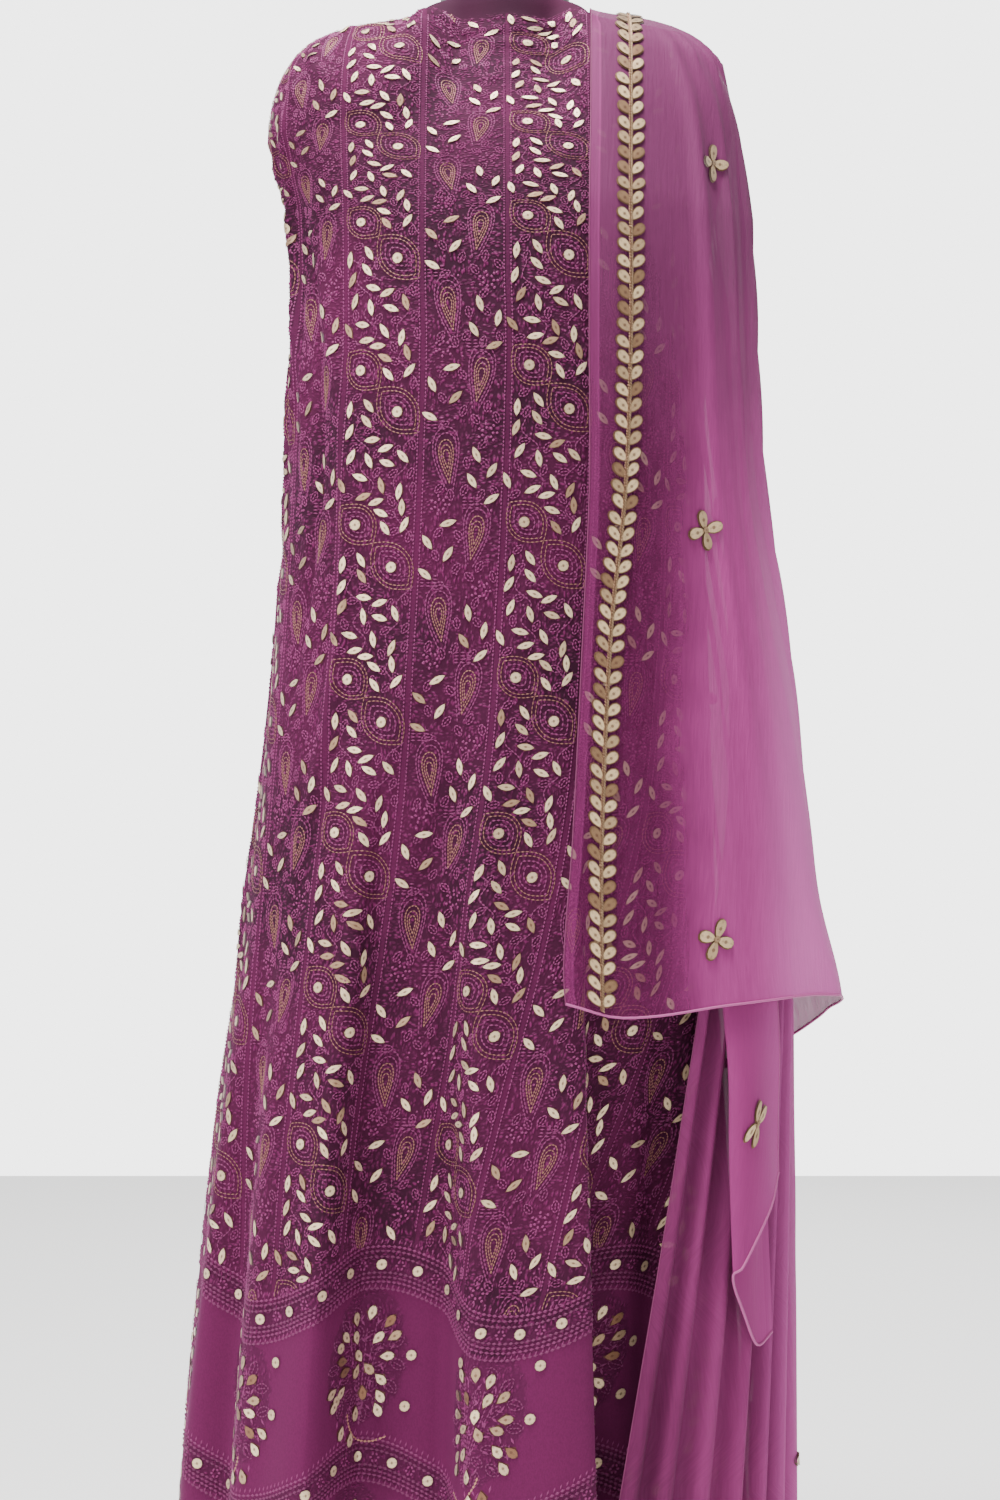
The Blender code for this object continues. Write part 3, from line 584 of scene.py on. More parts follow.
class Paint:
    def __init__(self, name, roughness=0.6, **constants):
        self.material = bpy.data.materials.new(name)
        self.material.use_nodes = True
        self.tree = self.material.node_tree
        self.shader = self.tree.nodes["Principled BSDF"]
        self.shader.inputs["Roughness"].default_value = roughness
        for socket, value in constants.items():
            self.shader.inputs[socket.replace("_", " ")].default_value = value

    def node(self, kind, settings=None, inputs=None, output=0):
        made = self.tree.nodes.new(kind)
        for key, value in (settings or {}).items():
            if key == "stops":
                for stop, (at, colour) in zip(made.color_ramp.elements, value[:2]):
                    stop.position, stop.color = at, (*colour, 1)
                for at, colour in value[2:]:
                    made.color_ramp.elements.new(at).color = (*colour, 1)
            else:
                setattr(made, key, value)
        for key, value in (inputs or {}).items():
            socket = made.inputs[key]
            if isinstance(value, Value):
                self.tree.links.new(value.socket, socket)
            else:
                socket.default_value = value
        return Value(self, made.outputs[output])

    def mix(self, share, a, b):
        a, b = ((*c, 1) if isinstance(c, tuple) else c for c in (a, b))
        return self.node("ShaderNodeMix", {"data_type": "RGBA"}, {0: share, 6: a, 7: b}, 2)

    def noise(self, where, scale, detail=3.0, rough=0.55, warp=0.0):
        inputs = {"Vector": where, "Scale": scale, "Detail": detail, "Roughness": rough, "Distortion": warp}
        return self.node("ShaderNodeTexNoise", {}, inputs)

    def cells(self, where, scale, feature="F1", randomness=1.0):
        inputs = {"Vector": where, "Scale": scale, "Randomness": randomness}
        return self.node("ShaderNodeTexVoronoi", {"feature": feature}, inputs)

    def uv(self):
        where = self.node("ShaderNodeUVMap", {"uv_map": "UVMap"})
        split = self.node("ShaderNodeSeparateXYZ", {}, {0: where})
        down = Value(self, split.socket.node.outputs[1])
        return where, split, down

    def objectPlace(self):
        return self.node("ShaderNodeTexCoord", {}, {}, 3)

    def stretched(self, where, scale, turn=0.0):
        return self.node("ShaderNodeMapping", {}, {"Vector": where, "Scale": scale, "Rotation": (0, 0, turn)})

    def bump(self, height, distance, strength=1.0, under=None):
        inputs = {"Height": height, "Distance": distance, "Strength": strength}
        if under is not None:
            inputs["Normal"] = under
        return self.node("ShaderNodeBump", {}, inputs)

    def finish(self, **links):
        for socket, value in links.items():
            self.tree.links.new(value.socket, self.shader.inputs[socket.replace("_", " ")])
        return self.material


def linear(*srgb):
    return tuple(c / 12.92 if c <= 0.04045 else ((c + 0.055) / 1.055) ** 2.4 for c in (s / 255 for s in srgb))


# Cloth colours, as the eye sees them in soft light
kameezLook = {
    "deep": linear(40, 1, 27),
    "mid": linear(72, 6, 49),
    "light": linear(122, 28, 90),
    "fine": linear(94, 19, 68),
    "columnWidth": 0.067,
    "firstColumn": -0.130,
    "repeat": 0.1205,
    "plainEdge": 0.036,
    "bandMiddle": 0.3945,
    "bandSwing": 0.0215,
    "bandPeak": -0.020,
    "bandRepeat": 0.268,
    "secondBand": 0.150,
}


def embroideredCloth(bandDown):
    paint = Paint(
        "embroideredGeorgette", 0.78, Specular_IOR_Level=0.22, Sheen_Weight=0.06, Sheen_Roughness=0.4,
        Sheen_Tint=(*linear(220, 110, 190), 1),
    )
    look = kameezLook
    where, u, v = paint.uv()
    place = paint.objectPlace()
    # the plain strip at the top, the worked field with its columns, and the plain cloth of the border
    field = v.between(look["plainEdge"] - 0.002, look["plainEdge"] + 0.002)
    swing = ((u - look["bandPeak"]) * (2 * math.pi / look["bandRepeat"])).maths("COSINE") * look["bandSwing"]
    edge = v + swing - bandDown
    above = 1 - edge.between(-0.001, 0.001)
    band = (1 - (edge - 0.013).size().between(0.013, 0.015)) * 0.9
    lower = (1 - (edge - 0.013 - look["secondBand"]).size().between(0.013, 0.015)) * 0.9
    # and the worked ground round each bouquet
    sideways = ((u - look["bandPeak"] + 0.008) * (2 / look["bandRepeat"]) + 0.5).part() - 0.5
    across = sideways * (look["bandRepeat"] / 2) / 0.040
    below = (v - bandDown - 0.078 + swing * 0.8) / 0.056
    under = (v - bandDown - 0.078 - look["secondBand"] + swing * 0.8) / 0.056
    ragged = paint.noise(where, 110.0, 2.0, 0.6) * 0.5 - 0.25
    bush = 1 - (across**2.0 + below**2.0 + ragged).between(0.80, 0.98)
    bush = bush.maths("MAXIMUM", 1 - (across**2.0 + under**2.0 + ragged).between(0.80, 0.98))
    worked = (field * above + band + lower).maths("MAXIMUM", bush * 0.9)
    column = ((u - look["firstColumn"]) / look["columnWidth"]).part()
    boundary = ((column - 0.5).size() * -1 + 0.5).between(0.018, 0.030)
    # ground stitches: raised knots and short stitches that lie along or across, in patches; the gaps between them are
    # painted darker as shade
    warped = paint.noise(where, 45.0, 2.0, 0.5) * 0.006
    patch = paint.noise(where, 34.0, 1.0, 0.5).between(0.46, 0.54)
    bent = paint.node("ShaderNodeVectorMath", {"operation": "ADD"}, {0: where, 1: warped})
    along = paint.cells(paint.stretched(bent, (1.0, 0.52, 1.0)), 400.0)
    across = paint.cells(paint.stretched(bent, (0.58, 1.0, 1.0)), 430.0)
    raised = along * patch + across * (1 - patch)
    gaps = paint.noise(where, 120.0, 2.0, 0.6).between(0.40, 0.56)
    thread = (1 - raised.between(0.16, 0.62)) * (gaps * 0.75 + 0.25)
    thread = thread * worked * (boundary * 0.85 + 0.15)
    weave = paint.noise(paint.stretched(place, (1, 1, 0.6)), 900.0, 2.0, 0.6)
    broad = paint.noise(place, 7.0, 2.0, 0.5)
    ground = paint.mix(broad.between(0.35, 0.68), look["deep"], look["mid"])
    ground = paint.mix(edge.between(-0.02, 0.03), ground, look["fine"])
    ground = paint.mix((1 - field) * 0.3 + band * 0.5 + lower * 0.5 + bush * 0.35, ground, look["deep"])
    ground = paint.mix((1 - boundary) * 0.4 * field * above, ground, look["fine"])
    # raised knots take the lighter thread colour and the gaps keep the darker ground: partly the thread's own tone,
    # partly painted shade between the knots
    colour = paint.mix(thread * 0.8, ground, look["light"])
    colour = paint.mix(weave.between(0.3, 0.75) * 0.22, colour, look["deep"])
    height = thread * 0.0014 + weave * 0.00012
    return paint.finish(
        Base_Color=colour, Roughness=0.86 - thread * 0.2, Normal=paint.bump(height, 1.0, 0.9)
    )


def threadPaint(name, low, high, roughness, sheen=0.4, metallic=0.0):
    paint = Paint(name, roughness, Sheen_Weight=sheen, Sheen_Roughness=0.35, Metallic=metallic)
    tone = paint.node("ShaderNodeAttribute", {"attribute_name": "tone"}, {}, 2)
    place = paint.objectPlace()
    _, along, across = paint.uv()
    fibre = paint.noise(place, 1400.0, 2.0, 0.6)
    ply = (along * 16.0 + across * 9.0).sine() * 0.5 + 0.5
    colour = paint.mix(tone * 0.75 + fibre * 0.3 - 0.05, low, high)
    return paint.finish(Base_Color=colour, Normal=paint.bump(ply * 0.00012 + fibre * 0.00008, 1.0, 0.6))


def ribbonPaint(name, pale, dark, roughness=0.34):
    # folded metallic ribbon: fine lengthwise weave, a couched thread down the middle, and a darker rim that is painted
    # shadow where the leaf meets the cloth
    paint = Paint(name, roughness, Metallic=0.55, Sheen_Weight=0.15)
    tone = paint.node("ShaderNodeAttribute", {"attribute_name": "tone"}, {}, 2)
    _, along, across = paint.uv()
    place = paint.objectPlace()
    weave = ((along * 62.0).sine() * 0.5 + 0.5) * ((across * 44.0).sine() * 0.5 + 0.5)
    grime = paint.noise(place, 260.0, 3.0, 0.6)
    vein = 1 - (across - 0.5).size().between(0.03, 0.10)
    knot = 1 - (((along - 0.5) * 1.4) ** 2.0 + (across - 0.5) ** 2.0).between(0.008, 0.030)
    middle = (vein * 0.45 * ((along * 24.0).sine() * 0.5 + 0.5)).maths("MAXIMUM", knot)
    # the rim mask: painted shadow at the leaf's edge; the darker middle is the couched thread's own colour
    rimShadow = ((along - 0.5) ** 2.0 + (across - 0.5) ** 2.0).between(0.13, 0.24)
    colour = paint.mix(tone, dark, pale)
    colour = paint.mix(middle * 0.75 + rimShadow * 0.34, colour, linear(92, 58, 42))
    colour = paint.mix(grime.between(0.5, 0.75) * 0.25, colour, dark)
    rough = grime * 0.25 + (roughness - 0.06)
    relief = paint.bump(weave * 0.00018 + grime * 0.0002, 1.0, 0.7)
    return paint.finish(Base_Color=colour, Roughness=rough, Normal=relief)


def chiffonPaint(name, pale, deep, cover, clear, shoulder):
    # fine crinkled sheer cloth: clear over the suit, fuller where it hangs free; its colour is painted deep over the
    # suit, as shade from the dark cloth behind, and pale where it hangs free, as painted light from the bright backdrop
    # behind
    paint = Paint(name, 0.7, Specular_IOR_Level=0.15, Sheen_Weight=0.02)
    where, u, v = paint.uv()
    place = paint.objectPlace()
    split = paint.node("ShaderNodeSeparateXYZ", {}, {0: place})
    up = Value(paint, split.socket.node.outputs[2])
    broad = paint.noise(where, 9.0, 2.0, 0.5)
    free = (split + (broad - 0.5) * 0.03).between(0.105, 0.172)
    high = (up + (broad - 0.5) * 0.2).between(0.92, 1.27)
    crinkle = paint.noise(paint.stretched(where, (420.0, 34.0, 1.0)), 1.0, 3.0, 0.6, 0.6)
    grain = paint.noise(paint.stretched(where, (1500.0, 1500.0, 1.0)), 1.0, 1.0, 0.5)
    fullness = free * (cover - clear) + clear
    fullness = fullness + high * (0.93 - fullness) * 0.85
    # deep over the suit and paler where it hangs free: painted shade from the suit behind and painted light from the
    # backdrop behind; deeper again high up towards the shoulder
    colour = paint.mix(free * 0.85 + crinkle.between(0.3, 0.7) * 0.15, deep, pale)
    colour = paint.mix(high * 0.85, colour, shoulder)
    # paler pink further out: painted light from the bright backdrop behind the sheer
    colour = paint.mix(split.between(0.185, 0.240) * (1 - high) * 0.6, colour, linear(214, 108, 182))
    # a line of running stitches beside the long edge
    seam = 1 - (u - 0.0075).size().between(0.0004, 0.0011)
    doubled = 1 - u.between(0.0065, 0.0080)
    fullness = fullness + doubled * (0.85 - fullness) * 0.5
    colour = paint.mix(seam * 0.35 + doubled * 0.22, colour, pale)
    return paint.finish(
        Base_Color=colour,
        Alpha=fullness - 0.07 + crinkle * 0.10 + grain * 0.05,
        Normal=paint.bump(crinkle * 0.0006 + grain * 0.0001, 1.0, 0.8),
    )


def plainClothPaint():
    paint = Paint("salwarCloth", 0.8, Sheen_Weight=0.3, Sheen_Roughness=0.5)
    where, u, v = paint.uv()
    place = paint.objectPlace()
    weave = ((u * 5200.0).sine() * 0.25 + 0.25) + ((v * 5200.0).sine() * 0.25 + 0.25)
    slub = paint.noise(paint.stretched(where, (60.0, 900.0, 1.0)), 1.0, 2.0, 0.5)
    broad = paint.noise(place, 9.0, 2.0, 0.5)
    colour = paint.mix(broad * 0.6 + slub * 0.3, linear(128, 52, 98), linear(158, 78, 128))
    return paint.finish(Base_Color=colour, Normal=paint.bump(weave * 0.00008 + slub * 0.0001, 1.0, 0.6))


def formPaint():
    paint = Paint("formCover", 0.62, Sheen_Weight=0.25)
    place = paint.objectPlace()
    knit = paint.noise(paint.stretched(place, (1.0, 1.0, 0.35)), 1100.0, 2.0, 0.6)
    dust = paint.noise(place, 30.0, 3.0, 0.6)
    colour = paint.mix(dust.between(0.45, 0.8) * 0.5, linear(14, 14, 18), linear(34, 33, 38))
    return paint.finish(Base_Color=colour, Roughness=0.5 + knit * 0.25, Normal=paint.bump(knit * 0.00012, 1.0, 0.5))


def standPaint():
    paint = Paint("standEnamel", 0.34, Coat_Weight=0.25, Coat_Roughness=0.25)
    place = paint.objectPlace()
    peel = paint.noise(place, 420.0, 2.0, 0.5)
    scuff = paint.noise(paint.stretched(place, (40.0, 6.0, 40.0)), 1.0, 4.0, 0.7).between(0.60, 0.74)
    colour = paint.mix(scuff * 0.6, linear(20, 20, 22), linear(62, 61, 64))
    rough = 0.30 + scuff * 0.3 + peel * 0.08
    return paint.finish(Base_Color=colour, Roughness=rough, Normal=paint.bump(peel * 0.0001, 1.0, 0.4))


def floorPaint():
    paint = Paint("paleFloor", 0.7, Emission_Color=(1, 1, 1, 1), Emission_Strength=0.8)
    place = paint.objectPlace()
    grain = paint.noise(place, 60.0, 3.0, 0.6)
    colour = paint.mix(grain * 0.3, linear(238, 237, 236), linear(246, 245, 245))
    return paint.finish(Base_Color=colour, Normal=paint.bump(grain * 0.0002, 1.0, 0.3))


# Kameez cloth: two sheets that meet on the shoulder ridges and behind the sides
kameezCloth = {
    "wall": 0.0009,
    "capRows": 26,
    "rowStep": 0.0072,
    "frontColumns": 164,
    "backColumns": 104,
    "neckLift": 0.0030,
    "takenUp": 0.5,
    "fluteDepth": 1.32,
    "uprightFrom": 1.06,
    "uprightBlend": 0.12,
    "sideCrease": 1.8,
    "chestCrease": 1.7,
    "zeroX": -0.128,  # the pattern's zero line runs down the cloth here
    "zeroU": -0.130,
}
# creases: start (u, v) to end (u, v), half width, height; a trough is negative
frontCreases = (
    (-0.245, 0.20, -0.215, 0.52, 0.0065, 0.0030),
    (-0.222, 0.16, -0.200, 0.60, 0.0050, 0.0026),
    (-0.205, 0.24, -0.186, 0.74, 0.0060, -0.0022),
    (-0.190, 0.13, -0.172, 0.50, 0.0045, 0.0024),
    (-0.176, 0.30, -0.160, 0.86, 0.0070, 0.0026),
    (-0.258, 0.30, -0.240, 0.66, 0.0070, -0.0024),
    (-0.236, 0.42, -0.222, 0.98, 0.0085, 0.0032),
    (-0.150, 0.22, -0.146, 0.66, 0.0050, 0.0014),
    (-0.150, 0.055, -0.090, 0.075, 0.0042, 0.0020),
    (-0.130, 0.078, -0.050, 0.092, 0.0046, 0.0016),
    (-0.080, 0.048, -0.010, 0.060, 0.0036, 0.0018),
    (-0.118, 0.100, -0.066, 0.112, 0.0036, 0.0014),
    (-0.040, 0.120, 0.010, 0.128, 0.0040, 0.0012),
    (-0.100, 0.062, -0.050, 0.068, 0.0030, 0.0013),
    (0.010, 0.086, 0.066, 0.080, 0.0034, 0.0015),
    (-0.020, 0.052, 0.030, 0.054, 0.0030, 0.0013),
    (-0.030, 0.070, 0.052, 0.066, 0.0040, 0.0016),
    (-0.060, 0.104, 0.030, 0.112, 0.0050, 0.0012),
    (0.000, 0.040, 0.066, 0.046, 0.0034, 0.0014),
    (-0.176, 0.090, -0.140, 0.150, 0.0050, 0.0022),
    (-0.200, 0.080, -0.172, 0.170, 0.0048, 0.0022),
    (-0.050, 0.62, -0.062, 1.02, 0.0110, 0.0030),
    (0.030, 0.58, 0.052, 0.98, 0.0120, 0.0026),
    (-0.110, 0.70, -0.122, 1.08, 0.0110, -0.0030),
    (-0.010, 0.72, -0.012, 1.10, 0.0130, -0.0026),
    (0.004, 0.36, 0.010, 0.62, 0.0080, 0.0012),
    (-0.090, 0.34, -0.094, 0.66, 0.0080, 0.0012),
    (0.160, 0.30, 0.176, 0.80, 0.0080, 0.0016),
    (0.200, 0.36, 0.214, 0.92, 0.0080, 0.0018),
)
backCreases = (
    (-0.190, 0.22, -0.202, 0.60, 0.0060, 0.0026),
    (-0.165, 0.26, -0.176, 0.72, 0.0060, -0.0020),
    (-0.140, 0.20, -0.150, 0.66, 0.0060, 0.0020),
    (-0.055, 0.34, -0.060, 0.84, 0.0080, 0.0020),
    (0.010, 0.30, 0.018, 0.70, 0.0080, 0.0016),
    (0.070, 0.28, 0.078, 0.76, 0.0070, 0.0022),
    (0.120, 0.20, 0.134, 0.58, 0.0060, 0.0024),
    (0.150, 0.26, 0.168, 0.80, 0.0070, -0.0020),
    (0.176, 0.22, 0.190, 0.66, 0.0060, 0.0026),
    (-0.100, 0.060, -0.040, 0.066, 0.0040, 0.0016),
    (-0.020, 0.078, 0.050, 0.072, 0.0040, 0.0014),
    (0.050, 0.052, 0.110, 0.062, 0.0040, 0.0016),
    (-0.020, 0.74, -0.030, 1.10, 0.0120, 0.0026),
    (0.090, 0.72, 0.100, 1.08, 0.0120, -0.0026),
)


def kameezGrid(behind):
    look = kameezCloth
    drops = rowDrops(figure["capBase"] - figure["hem"], look["capRows"], look["rowStep"])
    first, last = (115, 245) if behind else (-115, 115)
    folds = backFolds if behind else frontFolds
    degrees = np.linspace(first, last, (look["backColumns"] if behind else look["frontColumns"]) + 1)
    drop, degree = np.meshgrid(drops, degrees, indexing="ij")
    side = sideAngle(drop, behind)
    share = (degree - first) / (last - first)
    angle = blend(side, 2 * math.pi - side, share) if behind else blend(-side, side, share)
    # a little unevenness in the flutes, so that no two are alike
    push = foldPush(folds, degree, drop) * look["fluteDepth"]
    edge = np.minimum(degree - first, last - degree)
    push = push + 0.0022 * np.sin(degree * 0.31 + drop * 5.0) * ramp(0.45, 0.95, drop) * ramp(2, 14, edge)
    points = bodyPoints(kameezShape, angle, behind, drop, push)
    # over the hollow of the neck the cloth stands a little off the form
    hollow = ramp(0.085, 0.045, np.abs(points[..., 0])) * ramp(0.0, -0.25, drop) * ramp(-1.02, -0.9, drop)
    return points + surfaceNormals(points) * (hollow * look["neckLift"])[..., None], degrees


def makeKameez(behind, creases):
    points, degrees = kameezGrid(behind)
    if behind:
        zero = np.interp(180, degrees, np.arange(len(degrees)))
    else:
        row = np.argmin(np.abs(points[:, len(degrees) // 2, 2] - 1.0))
        left = points[row, : len(degrees) // 2, 0]
        k = np.argmax(points[row, : len(degrees) // 2, 1] < 0.01)
        zero = np.interp(kameezCloth["zeroX"], left[k:], np.arange(k, len(degrees) // 2))
    cloth = Cloth(points, zero)
    if not behind:
        cloth.u += kameezCloth["zeroU"]
    # over the chest the gathers keep the pattern's columns upright
    row = np.argmin(np.abs(cloth.points[:, len(degrees) // 2, 2] - kameezCloth["uprightFrom"]))
    x = cloth.points[..., 0]
    upright = cloth.u[row] + (x - x[row]) * (-1 if behind else 1)
    line = cloth.points[:, len(degrees) // 2]
    share = ramp(0.0, -kameezCloth["uprightBlend"], line[row, 2] - line[:, 2])
    cloth.u = blend(cloth.u, upright, share[:, None])
    # the small gathers over the chest take up cloth, so the pattern lies closer together there
    taken = 1 + kameezCloth["takenUp"] * ramp(1.185, 1.26, (line[1:, 2] + line[:-1, 2]) / 2)
    cloth.v = np.concatenate([[0], np.cumsum(np.diff(cloth.v) * taken)])
    v = np.broadcast_to(cloth.v[:, None], cloth.u.shape)
    look = kameezCloth

    def strength(u0, v1):
        if abs(u0) > 0.15:
            return look["sideCrease"]
        return look["chestCrease"] if v1 < 0.13 else 1

    creases = [(u0, v0, u1, v1, half, high * strength(u0, v1)) for u0, v0, u1, v1, half, high in creases]
    cloth.points = creased(cloth.points, surfaceNormals(cloth.points), creases, (cloth.u, v))
    cloth.refresh()
    return cloth


kameezFrontCloth = makeKameez(False, frontCreases)
kameezBackCloth = makeKameez(True, backCreases)
centre = kameezFrontCloth.points.shape[1] // 2
bandDown = float(
    np.interp(-kameezLook["bandMiddle"], -kameezFrontCloth.points[:, centre, 2], kameezFrontCloth.v)
)
tipDown = float(np.interp(-1.1166, -kameezFrontCloth.points[:, centre, 2], kameezFrontCloth.v))
print("kameez cloth ready: band at", round(bandDown, 3), "pattern zero at", round(tipDown, 3))

georgette = embroideredCloth(bandDown)
kameezFront = clothPiece(
    "kameezFront", kameezFrontCloth, georgette, kameezCloth["wall"], ["kameez_front"]
)
kameezBack = clothPiece(
    "kameezBack", kameezBackCloth, georgette, kameezCloth["wall"], ["kameez_back"]
)

# The worked pattern, in millimetres from a column's left edge and from the top of its repeat
pattern = {
    "leaf": (0.0136, 0.0052, 0.0011),
    "dot": (0.0084, 0.0084, 0.0011),
    "drop": (0.0118, 0.0078, 0.0012),
    "goldStitch": (0.0036, 0.0009, 0.0005),
    "paisleyStitch": (0.0028, 0.0011, 0.0006),
    "purpleStitch": (0.0036, 0.0014, 0.0009),
    "fineStitch": (0.0029, 0.0013, 0.0010),
    "knot": (0.0019, 0.0019, 0.0009),
}
eyes = ((3.5, 0.0, 31.4, 29.5, 14.6), (31.4, 29.5, 64.2, 65.5, 15.4))  # tip, tip, half width
eyeDots = ((15.6, 15.1), (47.5, 48.7))
eyeLeaves = (  # x, y, slant: 0 lies along the weft, 90 upright
    (7, 46, 80), (23, 43, 120), (22, 56, 135), (7, 64, 65), (27, 70, 165), (38, 76, 25), (54, 84, 120),
    (9, 81, 65), (24, 86, 105), (41, 87, 155), (17, 100, 165), (3, 104, 118), (36, 105, 112), (21, 112, 15),
    (50, 112, 75), (31, 117, 12), (54, 124, 98), (37, 127, 150), (57, 138, 60), (40, 140, 120),
)
paisleyLeaves = (
    (23, 17, 20), (8, 30, 130), (26, 41, 50), (8, 55, 140),
    (44, 85, 110), (57, 98, 70), (40, 106, 125), (56, 119, 35),
)
paisleys = ((46.6, 27.0), (19.8, 90.0))
purpleLeaves = {  # small raised leaves between the gold ones
    "eye": (
        (44, 8, 150), (56, 14, 110), (60, 26, 80), (38, 16, 110), (48, 22, 40), (12, 36, 30), (15, 50, 60),
        (30, 52, 100), (14, 74, 20), (32, 80, 60), (47, 78, 70), (60, 74, 110), (60, 96, 60), (45, 97, 20),
        (30, 95, 70), (10, 92, 100), (8, 114, 20), (44, 118, 110), (62, 110, 100), (25, 62, 20),
    ),
    "paisley": (
        (16, 22, 60), (32, 24, 120), (16, 40, 120), (32, 50, 60), (18, 62, 20), (50, 48, 70), (60, 56, 110),
        (42, 58, 140), (48, 78, 60), (36, 92, 110), (50, 92, 130), (34, 112, 60), (48, 116, 80),
        (60, 112, 120), (14, 112, 70), (24, 116, 120),
    ),
}
rosettes = ((17, 1), (52, 68))
eyeStems = (  # raised stems that wind between the eyes
    ((1, 44), (16, 52), (10, 66), (26, 78), (16, 92), (30, 104), (24, 118)),
    ((66, 64), (52, 76), (58, 90), (44, 102), (52, 118), (46, 128), (60, 142), (64, 150)),
    ((34, 44), (22, 60), (34, 66)),
)
bouquet = (  # drops of one bouquet of the border, from its middle
    (-7, -29), (7, -34), (21, -29), (-18, -16), (-7, -14), (12, -14), (26, -15), (-22, 0), (-18, 8), (-1, -1),
    (23, 0), (-4, 12), (10, 8), (-31, 23), (-20, 25), (6, 28), (20, 19), (20, 32), (-27, 36), (0, 44), (19, 42),
    (-16, 58), (-5, 62),
)
# the band's raised lines get lower tones than the other raised thread, darkest on the inner lines: painted shade along
# the band
bandLines = (  # distance from the band's line, tone
    (-0.0035, 0.6), (0.0, 0.45), (0.0045, 0.3), (0.0170, 0.3), (0.0205, 0.45), (0.024, 0.6), (0.0295, 0.45),
)


def leafStitches(work, u, v, turn, length, width, tone):
    # a raised leaf: an outline of small stitches round a vein
    along, down = length / 2 * math.cos(turn), -length / 2 * math.sin(turn)
    outline = lens(u - along, v - down, u + along, v + down, width / 2, 12)
    vein = [(u - along * 0.6, v - down * 0.6), (u + along * 0.6, v + down * 0.6)]
    for path in (outline, vein):
        work.run(path, pattern["fineStitch"], 0.0029, tone=tone)


def lens(u0, v0, u1, v1, half, count=40, scale=1.0):
    # the closed outline of an eye, from tip to tip and back
    t = np.linspace(-1, 1, count // 2 + 1)
    length = math.hypot(u1 - u0, v1 - v0)
    ax, ay = (u1 - u0) / length, (v1 - v0) / length
    bulge = (1 - np.abs(t) ** 2.3) * half * scale
    along = np.concatenate([t, t[::-1][1:]]) * length / 2 * scale
    across = np.concatenate([-bulge, bulge[1:]])
    middle = (u0 + u1) / 2, (v0 + v1) / 2
    return np.stack([middle[0] + along * ax - across * ay, middle[1] + along * ay + across * ax], axis=-1)


def teardrop(u, v, wide, tall, scale, lean=0.0):
    t = np.linspace(0, 2 * math.pi, 33)
    x = np.sin(t) * np.sin(t / 2) ** 1.6 * wide / 2 * scale
    y = np.cos(t) * tall / 2 * scale
    return np.stack([u + x + lean * (y / tall + 0.5) ** 2, v - tall * 0.10 * (1 - scale) + y], axis=-1)


